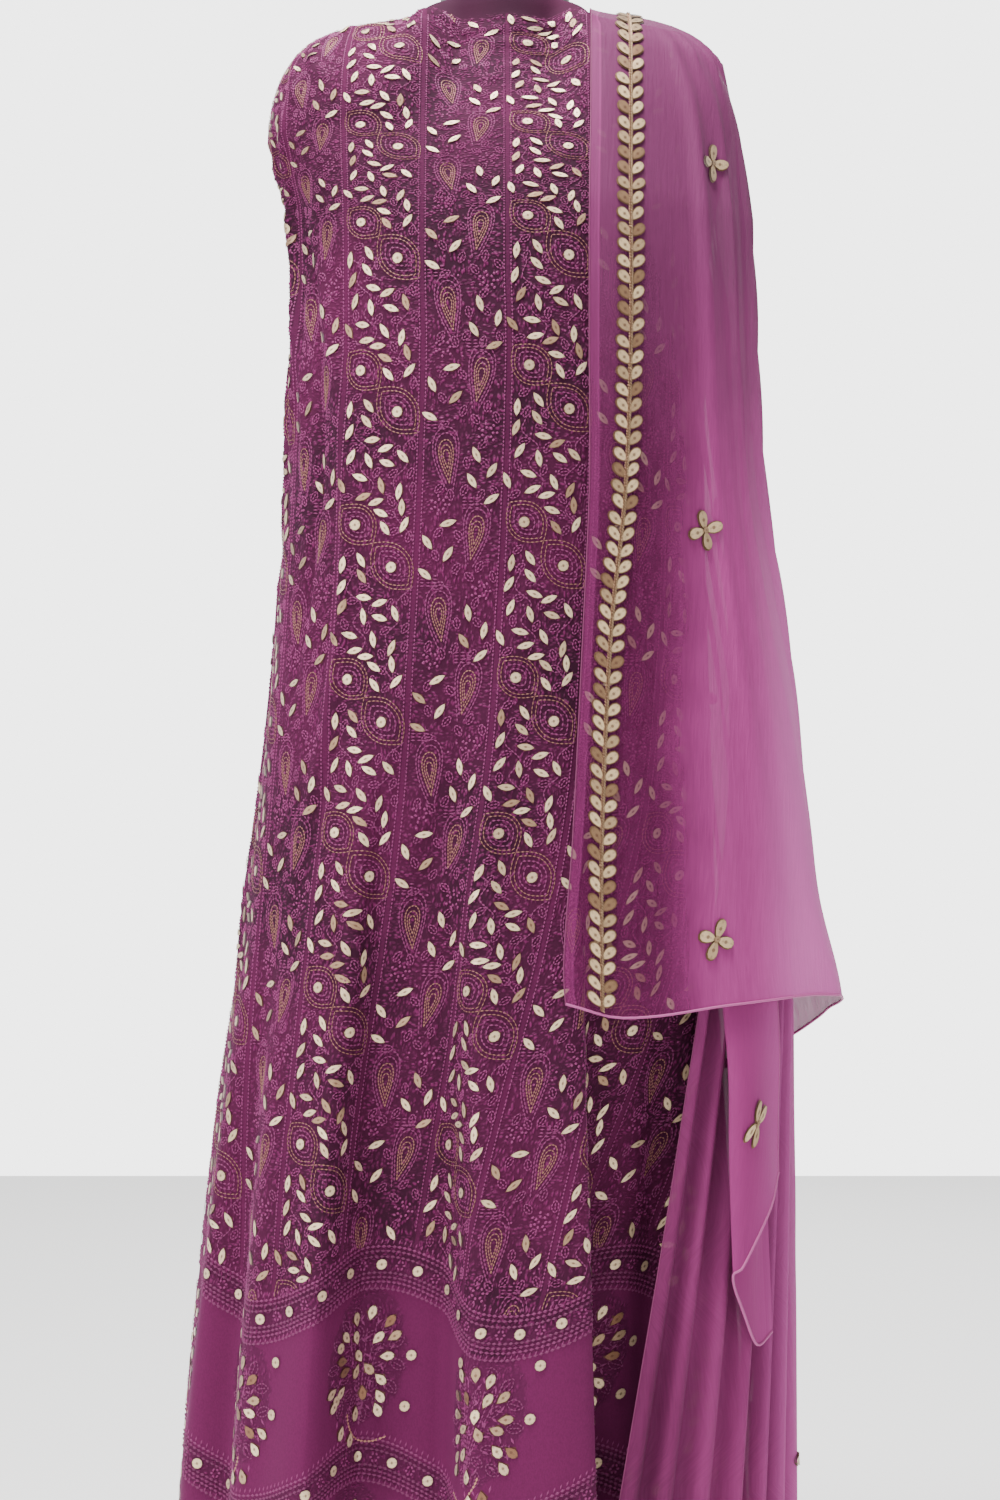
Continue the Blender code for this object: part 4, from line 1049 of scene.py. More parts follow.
def workPattern(name, cloth, columns):
    # everything sewn on one kameez sheet; columns counts from the pattern's zero column
    leaves, thread, relief = Stitching(cloth), Stitching(cloth), Stitching(cloth)
    wide, tall, mm = kameezLook["columnWidth"], kameezLook["repeat"], 0.001
    first = tipDown - tall * math.ceil(tipDown / tall)
    chooser = np.random.default_rng(5 if name == "Front" else 6)

    def bandAt(u):
        swing = np.cos((u - kameezLook["bandPeak"]) * 2 * math.pi / kameezLook["bandRepeat"])
        return bandDown - swing * kameezLook["bandSwing"]

    def kept(points, reach=0.006):
        return (points[1] > kameezLook["plainEdge"] + reach) & (points[1] < bandAt(points[0]) - 0.004 - reach)

    def put(work, shape, u, v, turn, size, lift, tone):
        if kept((u, v), size[0] * 0.4):
            work.add(shape, u, v, turn, size, lift, tone)
            if work is leaves:
                edgeThreadAndShadow(u, v, turn, size)

    def edgeThreadAndShadow(u, v, turn, size):
        # a dark copy a little larger under each ribbon leaf: partly the edging thread round it, partly painted shadow
        # round the leaf
        grown = (size[0] + 0.0022, size[1] + 0.0020, 0.0004)
        thread.add("stitch" if size[0] > size[1] else "knot", u, v, turn, grown, 0.0005, -0.25)

    def runKept(work, path, *args, **settings):
        path = np.asarray(path)
        inside = kept((path[:, 0], path[:, 1]), 0.0)
        starts = np.flatnonzero(np.diff(np.concatenate([[0], inside.astype(int), [0]])))
        for a, b in zip(starts[::2], starts[1::2]):
            if b - a > 1:
                work.run(path[a:b], *args, **settings)

    def at(x, y):
        return left + x * mm, top + y * mm

    for column in columns:
        left = kameezLook["firstColumn"] + column * wide
        eyeColumn = column % 2 == 0
        # dotted lines down both sides of the plain stripe between columns
        line = np.linspace(kameezLook["plainEdge"], bandAt(left), 60)
        for aside in (-0.0027, 0.0027):
            path = np.stack([np.full(60, left + aside), line], -1)
            runKept(relief, path, (0.0025, 0.0014, 0.0010), 0.0030, tone=0.85)
        for k in range(-1, 12):
            top = first + k * tall + chooser.normal(0, 0.0006)
            if top > bandAt(left) + 0.03:
                break
            if eyeColumn:
                for x0, y0, x1, y1, half in eyes:
                    u0, v0 = at(x0, y0)
                    u1, v1 = at(x1, y1)
                    for scale in (1.0, 0.83):
                        outline = lens(u0, v0, u1, v1, half * mm, scale=scale)
                        runKept(thread, outline, pattern["goldStitch"], 0.0035, tone=0.36, lift=0.0009)
                    for scale in (0.62, 0.40):
                        outline = lens(u0, v0, u1, v1, half * mm, scale=scale)
                        runKept(relief, outline, pattern["purpleStitch"], 0.0036, tone=0.7)
                for x, y in eyeDots:
                    put(leaves, "dot", *at(x, y), 0.3, pattern["dot"], 0.0007, chooser.uniform(0.6, 1.0))
                for x, y, slant in eyeLeaves:
                    turn = math.radians(slant + chooser.normal(0, 7))
                    spot = at(x + chooser.normal(0, 0.8), y + chooser.normal(0, 0.8))
                    tone = chooser.choice((0.2, 0.6, 0.85, 0.95, 1.0, 1.0))
                    put(leaves, "leaf", *spot, turn, pattern["leaf"], 0.0007, tone)
                for stem in eyeStems:
                    path = np.array([at(x, y) for x, y in stem])
                    fine = np.linspace(0, len(path) - 1, 30)
                    path = np.stack([np.interp(fine, np.arange(len(path)), path[:, i]) for i in (0, 1)], -1)
                    path[1:-1] = (path[:-2] + path[1:-1] * 2 + path[2:]) / 4
                    runKept(relief, path, pattern["purpleStitch"], 0.0034, tone=0.6)
            else:
                for x, y in paisleys:
                    u, v = at(x, y)
                    lean = -0.004 if x > 33 else 0.004
                    for scale, tone in ((1.0, 0.42), (0.70, 0.34), (0.42, 0.42)):
                        path = teardrop(u, v, 0.0165, 0.034, scale, lean)
                        runKept(thread, path, pattern["paisleyStitch"], 0.0026, tone=tone)
                    for scale in (1.3, 1.62):
                        path = teardrop(u, v, 0.0185, 0.036, scale, lean)
                        runKept(relief, path[4:-4], pattern["purpleStitch"], 0.0035, tone=0.65)
                for x, y, slant in paisleyLeaves:
                    turn = math.radians(slant + chooser.normal(0, 7))
                    spot = at(x + chooser.normal(0, 0.8), y + chooser.normal(0, 0.8))
                    put(leaves, "leaf", *spot, turn, pattern["leaf"], 0.0007, chooser.choice((0.3, 0.8, 0.95, 1.0)))
                for x, y in rosettes:
                    u, v = at(x, y)
                    if kept((u, v), 0.012):
                        for petal in range(7):
                            turn = petal * 2 * math.pi / 7
                            for reach in (0.0042, 0.0072):
                                relief.add(
                                    "knot", u + reach * math.cos(turn), v + reach * math.sin(turn), turn,
                                    (0.0026, 0.0020, 0.0011), 0.0005, 0.85,
                                )
                for y in (4, 64):
                    for step in range(4):
                        for x in (36, 41, 46) if y == 4 else (6, 11, 16):
                            spot = at(x, y - 8 + step * 2.6)
                            put(relief, "stitch", *spot, 0.0, (0.0042, 0.0012, 0.0008), 0.0005, 0.8)
            for x, y, slant in purpleLeaves["eye" if eyeColumn else "paisley"]:
                u, v = at(x + chooser.normal(0, 0.7), y + chooser.normal(0, 0.7))
                if kept((u, v), 0.006):
                    turn = math.radians(slant + chooser.normal(0, 10))
                    leafStitches(relief, u, v, turn, 0.0095, 0.0052, chooser.uniform(0.6, 0.95))
            for _ in range(22):
                x, y = chooser.uniform(6, 61), chooser.uniform(0, 120)
                put(relief, "knot", *at(x, y), chooser.uniform(0, 3), pattern["knot"], 0.0005, chooser.uniform(0.6, 1))

    # the border: two waving bands, and bouquets that hang under their peaks and troughs
    u0, u1 = kameezLook["firstColumn"] + columns[0] * wide, kameezLook["firstColumn"] + (columns[-1] + 1) * wide
    line = np.linspace(u0, u1, 260)
    for level in (0.0, kameezLook["secondBand"]):
        for off, tone in bandLines:
            relief.run(np.stack([line, bandAt(line) + off + level], -1), (0.0040, 0.0024, 0.0014), 0.0042, tone=tone)
        ticks = np.arange(u0, u1, 0.0046)
        for off in (0.0275, -0.0075):
            relief.add("stitch", ticks, bandAt(ticks) + off + level, 1.35, (0.0042, 0.0013, 0.0008), 0.0005, 0.8)
        dots = np.arange(u0, u1, 0.0296)
        leaves.add("dot", dots, bandAt(dots) + 0.0105 + level, 0.2, pattern["dot"], 0.0007, 0.85)
        knots = dots + 0.0148
        for turn in np.linspace(0, 2 * math.pi, 7)[:-1]:
            relief.add(
                "knot", knots + 0.003 * math.cos(turn), bandAt(knots) + 0.0105 + level + 0.003 * math.sin(turn), turn,
                (0.0026, 0.0019, 0.0010), 0.0005, 0.85,
            )
    period = kameezLook["bandRepeat"]
    for n in range(-3, 4):
        for shift, below, flip in ((0.0, 0.052, 1), (period / 2, 0.044, -1)):
            u = kameezLook["bandPeak"] - 0.008 + n * period + shift
            for level in (0.0, kameezLook["secondBand"]):
                v = float(bandAt(np.array(u))) + 0.030 + below + level
                if not (u0 - 0.03 < u < u1 + 0.03):
                    continue
                for x, y in bouquet:
                    x, y = flip * x + chooser.normal(0, 1), y + chooser.normal(0, 1)
                    turn = math.atan2(-(y - 2), x) + math.pi
                    tone = chooser.choice((0.0, 0.3, 0.7, 0.9, 1.0))
                    leaves.add("drop", u + x * mm, v + y * mm, turn, pattern["drop"], 0.0007, tone)
                    # each drop gets the same dark copy under it: edging thread and painted shadow
                    edgeThreadAndShadow(u + x * mm, v + y * mm, turn, pattern["drop"])
                    reach = 0.0085
                    for side in (-0.9, 0.9):
                        beside = u + x * mm + reach * math.cos(turn + side), v + y * mm - reach * math.sin(turn + side)
                        relief.add("stitch", *beside, turn + side * 0.4, (0.0062, 0.0018, 0.0009), 0.0005, 0.85)
                for turn in np.linspace(0, 2 * math.pi, 15)[:-1]:
                    x, y = 31 * math.cos(turn), 6 - 40 * math.sin(turn)
                    leafStitches(relief, u + x * mm, v + y * mm, turn + chooser.normal(0, 0.3), 0.013, 0.0075, 0.45)
                for turn in np.linspace(0, 2 * math.pi, 12)[:-1]:
                    x, y = 16 * math.cos(turn), 8 - 26 * math.sin(turn)
                    leafStitches(relief, u + x * mm, v + y * mm, turn + chooser.normal(0, 0.4), 0.011, 0.0065, 0.5)
                for k in range(6):
                    bend = flip * (k - 2.5) * 7
                    t = np.linspace(0, 1, 16)
                    x = bend * (1 - t) ** 1.2 + flip * 6 * t
                    y = -20 + 74 * t - abs(bend) * 0.6 * (1 - t)
                    path = np.stack([u + x * mm, v + y * mm], -1)
                    relief.run(path, (0.0036, 0.0013, 0.0008), 0.0038, tone=0.7)
                stem = [(flip * (-9 + 38 * t**1.5), 43 + 24 * math.sin(t * 2.2)) for t in np.linspace(0, 1, 20)]
                thread.run([(u + x * mm, v + y * mm) for x, y in stem], (0.0036, 0.0020, 0.0009), 0.0030, tone=0.9)
    dots = kameezLook["bandPeak"] + period * (np.arange(-14, 15) / 4 + 0.125)
    for off in (0.056, 0.096):
        leaves.add("dot", dots, bandDown + off + 0.006 * np.sin(dots * 40), 0.1, pattern["dot"], 0.0007, 0.75)
    hemLine = np.linspace(u0, u1, 260)
    hem = float(cloth.v[-1])
    for off in (0.006, 0.0115):
        relief.run(np.stack([hemLine, np.full(260, hem - off)], -1), (0.0034, 0.0014, 0.0008), 0.0042, tone=0.8)
    leaves.finish("gotaLeaves" + name, gotaPale, slot="gota_gold")
    thread.finish("goldThread" + name, goldThread, slot="gota_gold")
    relief.finish("raisedThread" + name, raisedThread, slot="embroidered_georgette")


gotaPale = ribbonPaint("gotaPaleGold", linear(234, 208, 170), linear(132, 92, 66))
goldThread = threadPaint("goldThread", linear(84, 34, 36), linear(196, 138, 118), 0.45, 0.2, 0.35)
raisedThread = threadPaint("raisedThread", linear(76, 6, 52), linear(138, 38, 104), 0.62, 0.1)
workPattern("Front", kameezFrontCloth, range(-5, 8))
workPattern("Back", kameezBackCloth, range(-4, 7))


# Dupatta: sheer sheets over one shoulder, with gold lace along the long edge and flowers here and there
dupatta = {
    "lift": 0.0050,
    "foldHeight": 1.5,
    "pleats": 15,
    "capRows": 22,
    "fallRows": 96,
    "frontColumns": 56,
    "backColumns": 190,
    "cornerColumns": 44,
    "cornerRows": 40,
    "hemRoll": 0.0011,
    "cornerHeld": 0.940,  # share of the way down the front fall
    "cornerTop": 0.60,  # height from which the corner hangs
    "cornerFlat": (0.17, 0.24),
}
cornerPath = (
    (0.00, 58.0, 0.031, 0.476),
    (0.22, 52.0, 0.033, 0.446),
    (0.42, 45.0, 0.032, 0.408),
    (0.50, 43.0, 0.027, 0.402),
    (0.58, 45.0, 0.022, 0.385),
    (0.80, 52.0, 0.021, 0.345),
    (1.00, 57.5, 0.020, 0.352),
)
lineAt = {
    name: smoothLine(dupattaLines, k + 1)
    for k, name in enumerate(("frontEdge", "lace", "backStart", "backEdge", "backLace"))
}
hemAt = {"front": smoothLine(dupattaHems, 1), "back": smoothLine(dupattaHems, 2)}


shoulderFolds = (  # share across, slant, half width, height, the drop where it fades
    (0.40, 0.16, 0.022, 0.0042, 0.50),
    (0.54, 0.22, 0.020, 0.0050, 0.62),
    (0.66, 0.26, 0.024, 0.0046, 0.50),
    (0.78, 0.20, 0.020, 0.0040, 0.70),
    (0.30, 0.08, 0.024, 0.0030, 0.70),
    (0.88, 0.10, 0.018, 0.0030, 0.60),
)


def fallDrops(across, hem):
    share = np.concatenate(
        [np.linspace(-1, 0, dupatta["capRows"] + 1)[:-1], np.linspace(0, 1, dupatta["fallRows"] + 1)]
    )
    share, across = np.meshgrid(share, across, indexing="ij")
    return np.where(share <= 0, share, share * (figure["capBase"] - hem(across))), across


def heightAt(drop):
    base = figure["capBase"]
    return np.where(drop >= 0, base - drop, blend(base, 1.405, -drop))


def angleAtX(shape, distance, behind, drop):
    low, high = np.zeros_like(drop), np.full_like(drop, math.pi / 2)
    for _ in range(24):
        middle = (low + high) / 2
        angle = math.pi - middle if behind else middle
        near = bodyPoints(shape, angle, behind, drop, 0, dupatta["lift"])[..., 0] < distance
        low, high = np.where(near, middle, low), np.where(near, high, middle)
    return math.pi - low if behind else low


def eased(points, reach=9, times=30):
    # rows near the shoulder's edge are smoothed down the fall
    first, last = dupatta["capRows"] - reach, dupatta["capRows"] + reach
    for _ in range(times):
        points[first:last] = (points[first - 1 : last - 1] + 2 * points[first:last] + points[first + 1 : last + 1]) / 4
    return points


def frontFall():
    drop, across = fallDrops(np.linspace(0, 1, dupatta["frontColumns"] + 1), hemAt["front"])
    start = angleAtX(frontFallShape, lineAt["frontEdge"](heightAt(drop)), False, drop)
    end = sideAngle(drop, False) + math.radians(12) * ramp(0.30, 0.70, drop)
    out = 0.0025 * np.sin(9 * across + 2.0) * ramp(0.15, 0.55, drop) * ramp(0.1, 0.5, across)
    # soft folds that slant down from the shoulder, and long shallow ones below
    hang = ramp(-0.6, 0.1, drop)
    out = out + np.maximum(0.0026 * np.sin(21 * across - 6 * drop + 0.8) ** 3, -0.0008) * hang * ramp(0.15, 0.4, across)
    out = out + 0.0014 * np.sin(34 * across + 3 * drop) * ramp(0.3, 0.6, drop) * ramp(0.25, 0.5, across)
    for middle, slant, half, high, fades in shoulderFolds:
        off = (across - middle - slant * (drop + 0.5)) / half
        seen = ramp(-1.0, -0.35, drop) * ramp(fades, fades - 0.35, drop)
        out = out + dupatta["foldHeight"] * high * np.exp(-(off**2)) * seen
    out = out + 0.0014 * ramp(0.10, 0.0, drop)
    return eased(bodyPoints(frontFallShape, blend(start, end, across), False, drop, out, dupatta["lift"]))


backFlowers = (  # share across and drop of each flower on the back fall
    (0.70, 0.18), (0.42, 0.30), (0.66, 0.46), (0.50, 0.60), (0.68, 0.76), (0.52, 0.90), (0.66, 1.06), (0.30, 1.17),
    (0.54, 1.19),
)


def backFall():
    drop, across = fallDrops(np.linspace(0, 1, dupatta["backColumns"] + 1), hemAt["back"])
    begin = lineAt["backStart"](heightAt(np.maximum(drop, 0)))
    start = sideAngle(drop, True) + np.radians(begin - 115)
    end = angleAtX(backFallShape, lineAt["backEdge"](heightAt(drop)), True, drop)
    depth = 0.010 * ramp(0.04, 0.16, drop) + 0.006 * ramp(0.30, 0.80, drop)
    uneven = across + 0.03 * np.sin(5 * across) + 0.008 * np.sin(23 * across)
    wave = np.sin(2 * math.pi * dupatta["pleats"] * uneven)
    sharp = np.sign(wave) * np.abs(wave) ** 0.8
    depth = depth * blend(0.60, 1.0, ramp(0.0, 0.20, across)) * blend(0.12, 1.0, ramp(0.88, 0.72, across))
    depth = depth * (0.92 + 0.16 * np.sin(19 * across + 1.7))
    for spotAcross, spotDrop in backFlowers:  # a sewn flower holds the pleats flat round it
        away = ((across - spotAcross) * 0.36) ** 2 + (drop - spotDrop) ** 2
        depth = depth * (1 - 0.9 * np.exp(-away / 0.026**2))
    out = depth * (sharp + 0.45) * 0.7
    out = out + 0.0010 * np.sin(2 * math.pi * 17 * across + 4 * drop) * ramp(0.1, 0.4, drop)
    return eased(bodyPoints(backFallShape, blend(start, end, across), True, drop, out, dupatta["lift"]))


def looseCorner(fall):
    held = dupatta["cornerHeld"]
    row = dupatta["capRows"] + held * dupatta["fallRows"]
    r, part = int(row), row - int(row)
    line = fall.points[r] * (1 - part) + fall.points[r + 1] * part
    normal = fall.normals[r]
    turn, down = np.meshgrid(
        np.linspace(0, 1, dupatta["cornerColumns"] + 1), np.linspace(0, 1, dupatta["cornerRows"] + 1), indexing="xy"
    )
    angle, out, hem = (smoothLine(cornerPath, k)(turn) for k in (1, 2, 3))
    distance = blend(0.168, 0.213, np.minimum(1.0, np.abs(turn - 0.5) / 0.45))
    inward = 0.0014 + 0.009 * ramp(0.42, 0.62, turn)
    x, *spot = (np.interp(distance, line[:, 0], line[:, k]) for k in range(3))
    lean = [np.interp(distance, line[:, 0], normal[:, k]) for k in (0, 1)]
    heldX, heldY, heldZ = x - inward * lean[0], spot[0] - inward * lean[1], spot[1]
    height = blend(heldZ, hem, down)
    ripple = 0.0016 * np.sin(15 * turn + 5 * down) * ramp(0.2, 0.6, down)
    hangX, hangY = ringPoints(backFallShape, height, np.radians(angle), out + ripple)
    share = ramp(0.0, 0.5, down)
    return np.stack([blend(heldX, hangX, share), blend(heldY, hangY, share), height], axis=-1)


def edgeRoll(name, points, radius, material):
    # a rolled hem: a thin tube along an edge of the sheet
    curve = bpy.data.curves.new(name, "CURVE")
    curve.dimensions, curve.bevel_depth, curve.bevel_resolution = "3D", radius, 1
    spline = curve.splines.new("POLY")
    spline.points.add(len(points) - 1)
    spline.points.foreach_set("co", np.column_stack([points, np.ones(len(points))]).ravel())
    holder = bpy.data.objects.new(name + "Line", curve)
    bpy.context.scene.collection.objects.link(holder)
    mesh = bpy.data.meshes.new_from_object(holder.evaluated_get(bpy.context.evaluated_depsgraph_get()))
    bpy.data.objects.remove(holder)
    mesh.name = name
    mesh.shade_smooth()
    return newObject(name, mesh, material)


frontFallCloth = Cloth(frontFall(), 0)
backFallCloth = Cloth(backFall(), dupatta["backColumns"], dupatta["backColumns"] - 30)
cornerCloth = Cloth(looseCorner(frontFallCloth)[:, ::-1], 0)
# one chiffon in three copies of different colour: the back fall's copy is painted darker as shade, the corner's is
# nearly even
chiffons = {
    "front": chiffonPaint(
        "chiffonFront", linear(160, 60, 126), linear(98, 20, 70), 0.94, 0.46, linear(102, 44, 82)
    ),
    "back": chiffonPaint("chiffonBack", linear(134, 50, 104), linear(72, 12, 50), 0.94, 0.94, linear(102, 44, 82)),
    "corner": chiffonPaint(
        "chiffonCorner", linear(140, 48, 108), linear(128, 40, 98), 0.95, 0.95, linear(140, 48, 108)
    ),
}
# the rolled edges get a paler colour than the sewn long edges: painted highlight along the roll
chiffonRollHighlight = threadPaint("rolledHem", linear(160, 64, 124), linear(206, 118, 176), 0.6, 0.1)
chiffonEdge = threadPaint("sewnEdge", linear(104, 26, 74), linear(140, 54, 106), 0.7, 0.05)
falls = {"front": frontFallCloth, "back": backFallCloth, "corner": cornerCloth}
dupattaPieces = {
    part: clothPiece("dupatta" + part.capitalize(), cloth, chiffons[part], 0, ["dupatta_" + part])
    for part, cloth in falls.items()
}
for part, cloth in falls.items():
    p = cloth.points
    edges = {"Hem": p[-1], "Inner": p[:, 0] if part == "front" else p[:, -1]}
    if part != "corner":
        edges["Outer"] = p[:, -1] if part != "back" else p[:, 0]
    for side, line in edges.items():
        radius = dupatta["hemRoll"] * (1 if side == "Hem" else 0.5)
        thread = chiffonRollHighlight if side == "Hem" or part == "corner" else chiffonEdge
        edgeRoll("roll" + part.capitalize() + side, line, radius, thread)
print("dupatta ready")

lace = {
    "pitch": 0.0124,
    "leaf": (0.0126, 0.0090, 0.0014),
    "reach": 0.0072,
    "spread": 0.80,
    "stem": (0.0038, 0.0019, 0.0018),
    "shoulder": 0.10,
}


def laceLine(cloth, distanceAt, behind):
    # where the lace's middle runs, in the sheet's own u and v
    rows = cloth.points.shape[0]
    path = []
    for r in range(rows):
        x = cloth.points[r, :, 0]
        half = slice(0, len(x) // 2 + 6) if not behind else slice(len(x) * 6 // 10, None)
        xs, us = x[half], cloth.u[r, half]
        order = np.argsort(xs)
        z = cloth.points[r, 0 if not behind else -1, 2]
        path.append((np.interp(distanceAt(z), xs[order], us[order]), cloth.v[r]))
    return np.array(path)


def makeLace(name, cloth, distanceAt, behind, node):
    path = laceLine(cloth, distanceAt, behind)
    work = Stitching(cloth)
    steps = np.linalg.norm(np.diff(path, axis=0), axis=1)
    far = np.concatenate([[0], np.cumsum(steps)])
    at = np.arange(0.006, far[-1] - 0.004, lace["pitch"])
    u, v = np.interp(at, far, path[:, 0]), np.interp(at, far, path[:, 1])
    chooser = np.random.default_rng(3)
    for side in (-1, 1):
        turn = math.pi / 2 - side * lace["spread"] + chooser.normal(0, 0.06, len(at))
        long, wide, high = lace["leaf"]
        spot = u + lace["reach"] * np.cos(turn), v - lace["reach"] * np.sin(turn)
        tone = chooser.choice((0.1, 0.45, 0.8, 1.0, 1.1), len(at)) - 0.6 * ramp(1.5, 0.6, v / lace["shoulder"])
        work.add("petal", *spot, turn, lace["leaf"], 0.0012, tone)
        # a larger flat dark petal under each one: painted shadow round the petal
        rimShadow = (long + 0.0022, wide + 0.0022, 0.0006)
        work.add("petal", *spot, turn, rimShadow, 0.0007, -0.6)
    for tone, aside in ((0.30, 0.0007), (-0.25, -0.0007)):
        work.run(path, lace["stem"], 0.0022, lift=0.0016, tone=tone, aside=aside, slant=0.7)
    return work.finish(name, gotaLace, [node], "gota_gold")


gotaLace = ribbonPaint("gotaLace", linear(226, 196, 152), linear(122, 88, 60), 0.30)
makeLace("laceFront", frontFallCloth, lineAt["lace"], False, "gota_lace_front")
makeLace("laceBack", backFallCloth, lineAt["backLace"], True, "gota_lace_back")

flowerLook = {
    "petal": (0.0150, 0.0105, 0.0018),
    "rimShadow": (0.0170, 0.0125, 0.0005),
    "reach": 0.0083,
    "eye": (0.0052, 0.0052, 0.0022),
    "tones": (0.8, 0.6, 0.9, 0.5),
}


def nearest(cloth, spot):
    away = np.linalg.norm(cloth.points - np.array(spot), axis=-1)
    r, c = np.unravel_index(np.argmin(away), away.shape)
    return float(cloth.u[r, c]), float(cloth.v[r])


def makeFlowers(name, cloth, spots, nodes):
    work = Stitching(cloth)
    for k, (u, v) in enumerate(spots):
        lean = 0.35 * math.sin(k * 2.3)
        for petal in range(4):
            turn = petal * math.pi / 2 + lean
            spot = u + flowerLook["reach"] * math.cos(turn), v - flowerLook["reach"] * math.sin(turn)
            work.add("petal", *spot, turn, flowerLook["petal"], 0.0012, flowerLook["tones"][petal])
            # a larger flat dark petal under each one: painted shadow round the petal
            work.add("petal", *spot, turn, flowerLook["rimShadow"], 0.0007, -0.5)
        work.add("dot", u, v, 0.0, flowerLook["eye"], 0.0016, 0.25)
    return work.finish(name, gotaLace, nodes, "gota_gold")


def boxMiddle(node):
    low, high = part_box(node)
    return [(a + b) / 2 for a, b in zip(low, high)]


frontSpots = [nearest(frontFallCloth, boxMiddle(f"gota_flower_{k:02d}")) for k in (1, 2, 3, 4)]
# the corner's flower lies a little in front of its node and below it
cornerSpots = [nearest(cornerCloth, np.array(boxMiddle("gota_flower_05")) + (-0.008, -0.012, -0.014))]
backSpots = []
for across, drop in backFlowers:
    column = round(across * dupatta["backColumns"])
    row = int(np.argmin(np.abs(figure["capBase"] - drop - backFallCloth.points[:, column, 2])))
    backSpots.append((float(backFallCloth.u[row, column]), float(backFallCloth.v[row])))
backSpots.append(nearest(backFallCloth, (0.232, -0.050, 0.237)))  # the one that shows beside the hem
makeFlowers("flowersFront", frontFallCloth, frontSpots, [f"gota_flower_{k:02d}" for k in (1, 2, 3, 4)])
makeFlowers("flowersCorner", cornerCloth, cornerSpots, ["gota_flower_05"])
makeFlowers("flowersBack", backFallCloth, backSpots, [])

# Salwar: a waistband, two gathered legs and cuffs, plain because the kameez hides them
salwar = {
    "wall": 0.0008,
    "crotchX": -0.036,
    "crotchTop": 0.715,
    "crotchLow": 0.610,
    "band": (1.026, 0.990),
    "cuff": (0.098, 0.058),
    "columns": 96,
    "rows": 120,
    "legTop": 0.9896,
    "legEnd": 0.0984,
}
legSizes = (  # height, left middle, right middle, half width, half depth
    (0.720, -0.106, 0.034, 0.066, 0.100),
    (0.560, -0.104, 0.034, 0.064, 0.090),
    (0.400, -0.100, 0.028, 0.058, 0.078),
    (0.200, -0.096, 0.022, 0.052, 0.064),
    (0.102, -0.094, 0.018, 0.047, 0.056),
    (0.050, -0.094, 0.018, 0.047, 0.056),
)


def legPoints(side):
    top, end = salwar["legTop"], salwar["legEnd"]
    height, share = np.meshgrid(
        np.linspace(top, end, salwar["rows"]), np.linspace(0, 1, salwar["columns"] + 1), indexing="ij"
    )
    middle = smoothLine(legSizes, 1 if side < 0 else 2)(height)
    wide, deep = (smoothLine(legSizes, k)(height) for k in (3, 4))
    gap = 0.5 * figure["seam"] / wide
    turn = blend(-math.pi + gap, math.pi - gap, share)
    # gathers that run down from the band, and up from the cuff
    pull = 0.0016 * np.sin(26 * math.pi * share) * ramp(top, 0.95, height) * ramp(0.62, 0.90, height)
    pull = pull + 0.0022 * np.sin(22 * math.pi * share + 1) * ramp(0.30, 0.12, height) * ramp(end, 0.112, height)
    tubeX = middle + side * (wide + pull) * np.cos(turn)
    tubeY = (deep + pull) * np.sin(turn)
    level = np.maximum(height, salwar["crotchTop"])
    seamX = salwar["crotchX"] * (1 - ramp(salwar["crotchTop"], salwar["band"][1], level)) + side * figure["seam"] / 2
    wideHere = np.where(seamX < 0, salwarShape["left"](level), salwarShape["right"](level))
    start = np.copysign(np.arcsin((np.abs(seamX) / wideHere) ** (figure["roundness"] / 2)), seamX)
    around = start + (side * math.pi - 2 * start) * share
    gathers = 0.0035 * np.sin(math.pi * 8 * share) ** 2 * ramp(salwar["band"][1], 0.93, height)
    hipX, hipY = ringPoints(salwarShape, level, around, gathers + pull)
    low = ramp(salwar["crotchTop"], salwar["crotchLow"], height)
    return np.stack([blend(hipX, tubeX, low), blend(hipY, tubeY, low), height], axis=-1)


def ringCloth(heights, pointsAt, columns=97):
    height, share = np.meshgrid(np.linspace(*heights, 9), np.linspace(0, 1, columns), indexing="ij")
    x, y = pointsAt(height, share)
    return Cloth(np.stack([x, y, height], axis=-1))


salwarCloth = plainClothPaint()
for side, word in ((-1, "Left"), (1, "Right")):
    points = legPoints(side)
    if side < 0:
        points = points[:, ::-1]
    clothPiece(
        "salwarLeg" + word, Cloth(points), salwarCloth, salwar["wall"], [f"salwar_{word.lower()}_leg"]
    )

    def cuffAt(height, share, side=side):
        middle = smoothLine(legSizes, 1 if side < 0 else 2)(height)
        turn = 2 * math.pi * share
        ease = 0.0005 * np.sin(40 * share * math.pi)
        wide, deep = (smoothLine(legSizes, k)(height) for k in (3, 4))
        return middle + (wide + ease) * np.cos(turn), (deep + ease) * np.sin(turn)

    clothPiece(
        "salwarCuff" + word, ringCloth(salwar["cuff"], cuffAt), salwarCloth, 0.0014,
        [f"salwar_{word.lower()}_cuff"],
    )


def bandAround(height, share):
    angle = 2 * math.pi * share + 0.001
    return ringPoints(formShape, np.clip(height, 0.985, 1.03), angle, 0.0016)


clothPiece(
    "salwarBand", ringCloth(salwar["band"], bandAround, 145), salwarCloth, 0.0009, ["salwar_waistband"]
)
print("salwar ready")

# Dress form and stand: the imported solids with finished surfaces
for nodes, material in ((("form_torso", "form_neck"), formPaint()), (("stand_base", "stand_pole"), standPaint())):
    for node in nodes:
        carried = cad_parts[node]
        if not carried.material_slots:
            carried.data.materials.append(material)
        for slot in carried.material_slots:
            slot.material = material

# the corner's hem slants, so its cut is its rectangle times its mean drop over its longest drop
cornerDrops = dupatta["cornerTop"] - smoothLine(cornerPath, 3)(np.linspace(0, 1, 41))
cornerShare = float(cornerDrops.mean() / cornerDrops.max())

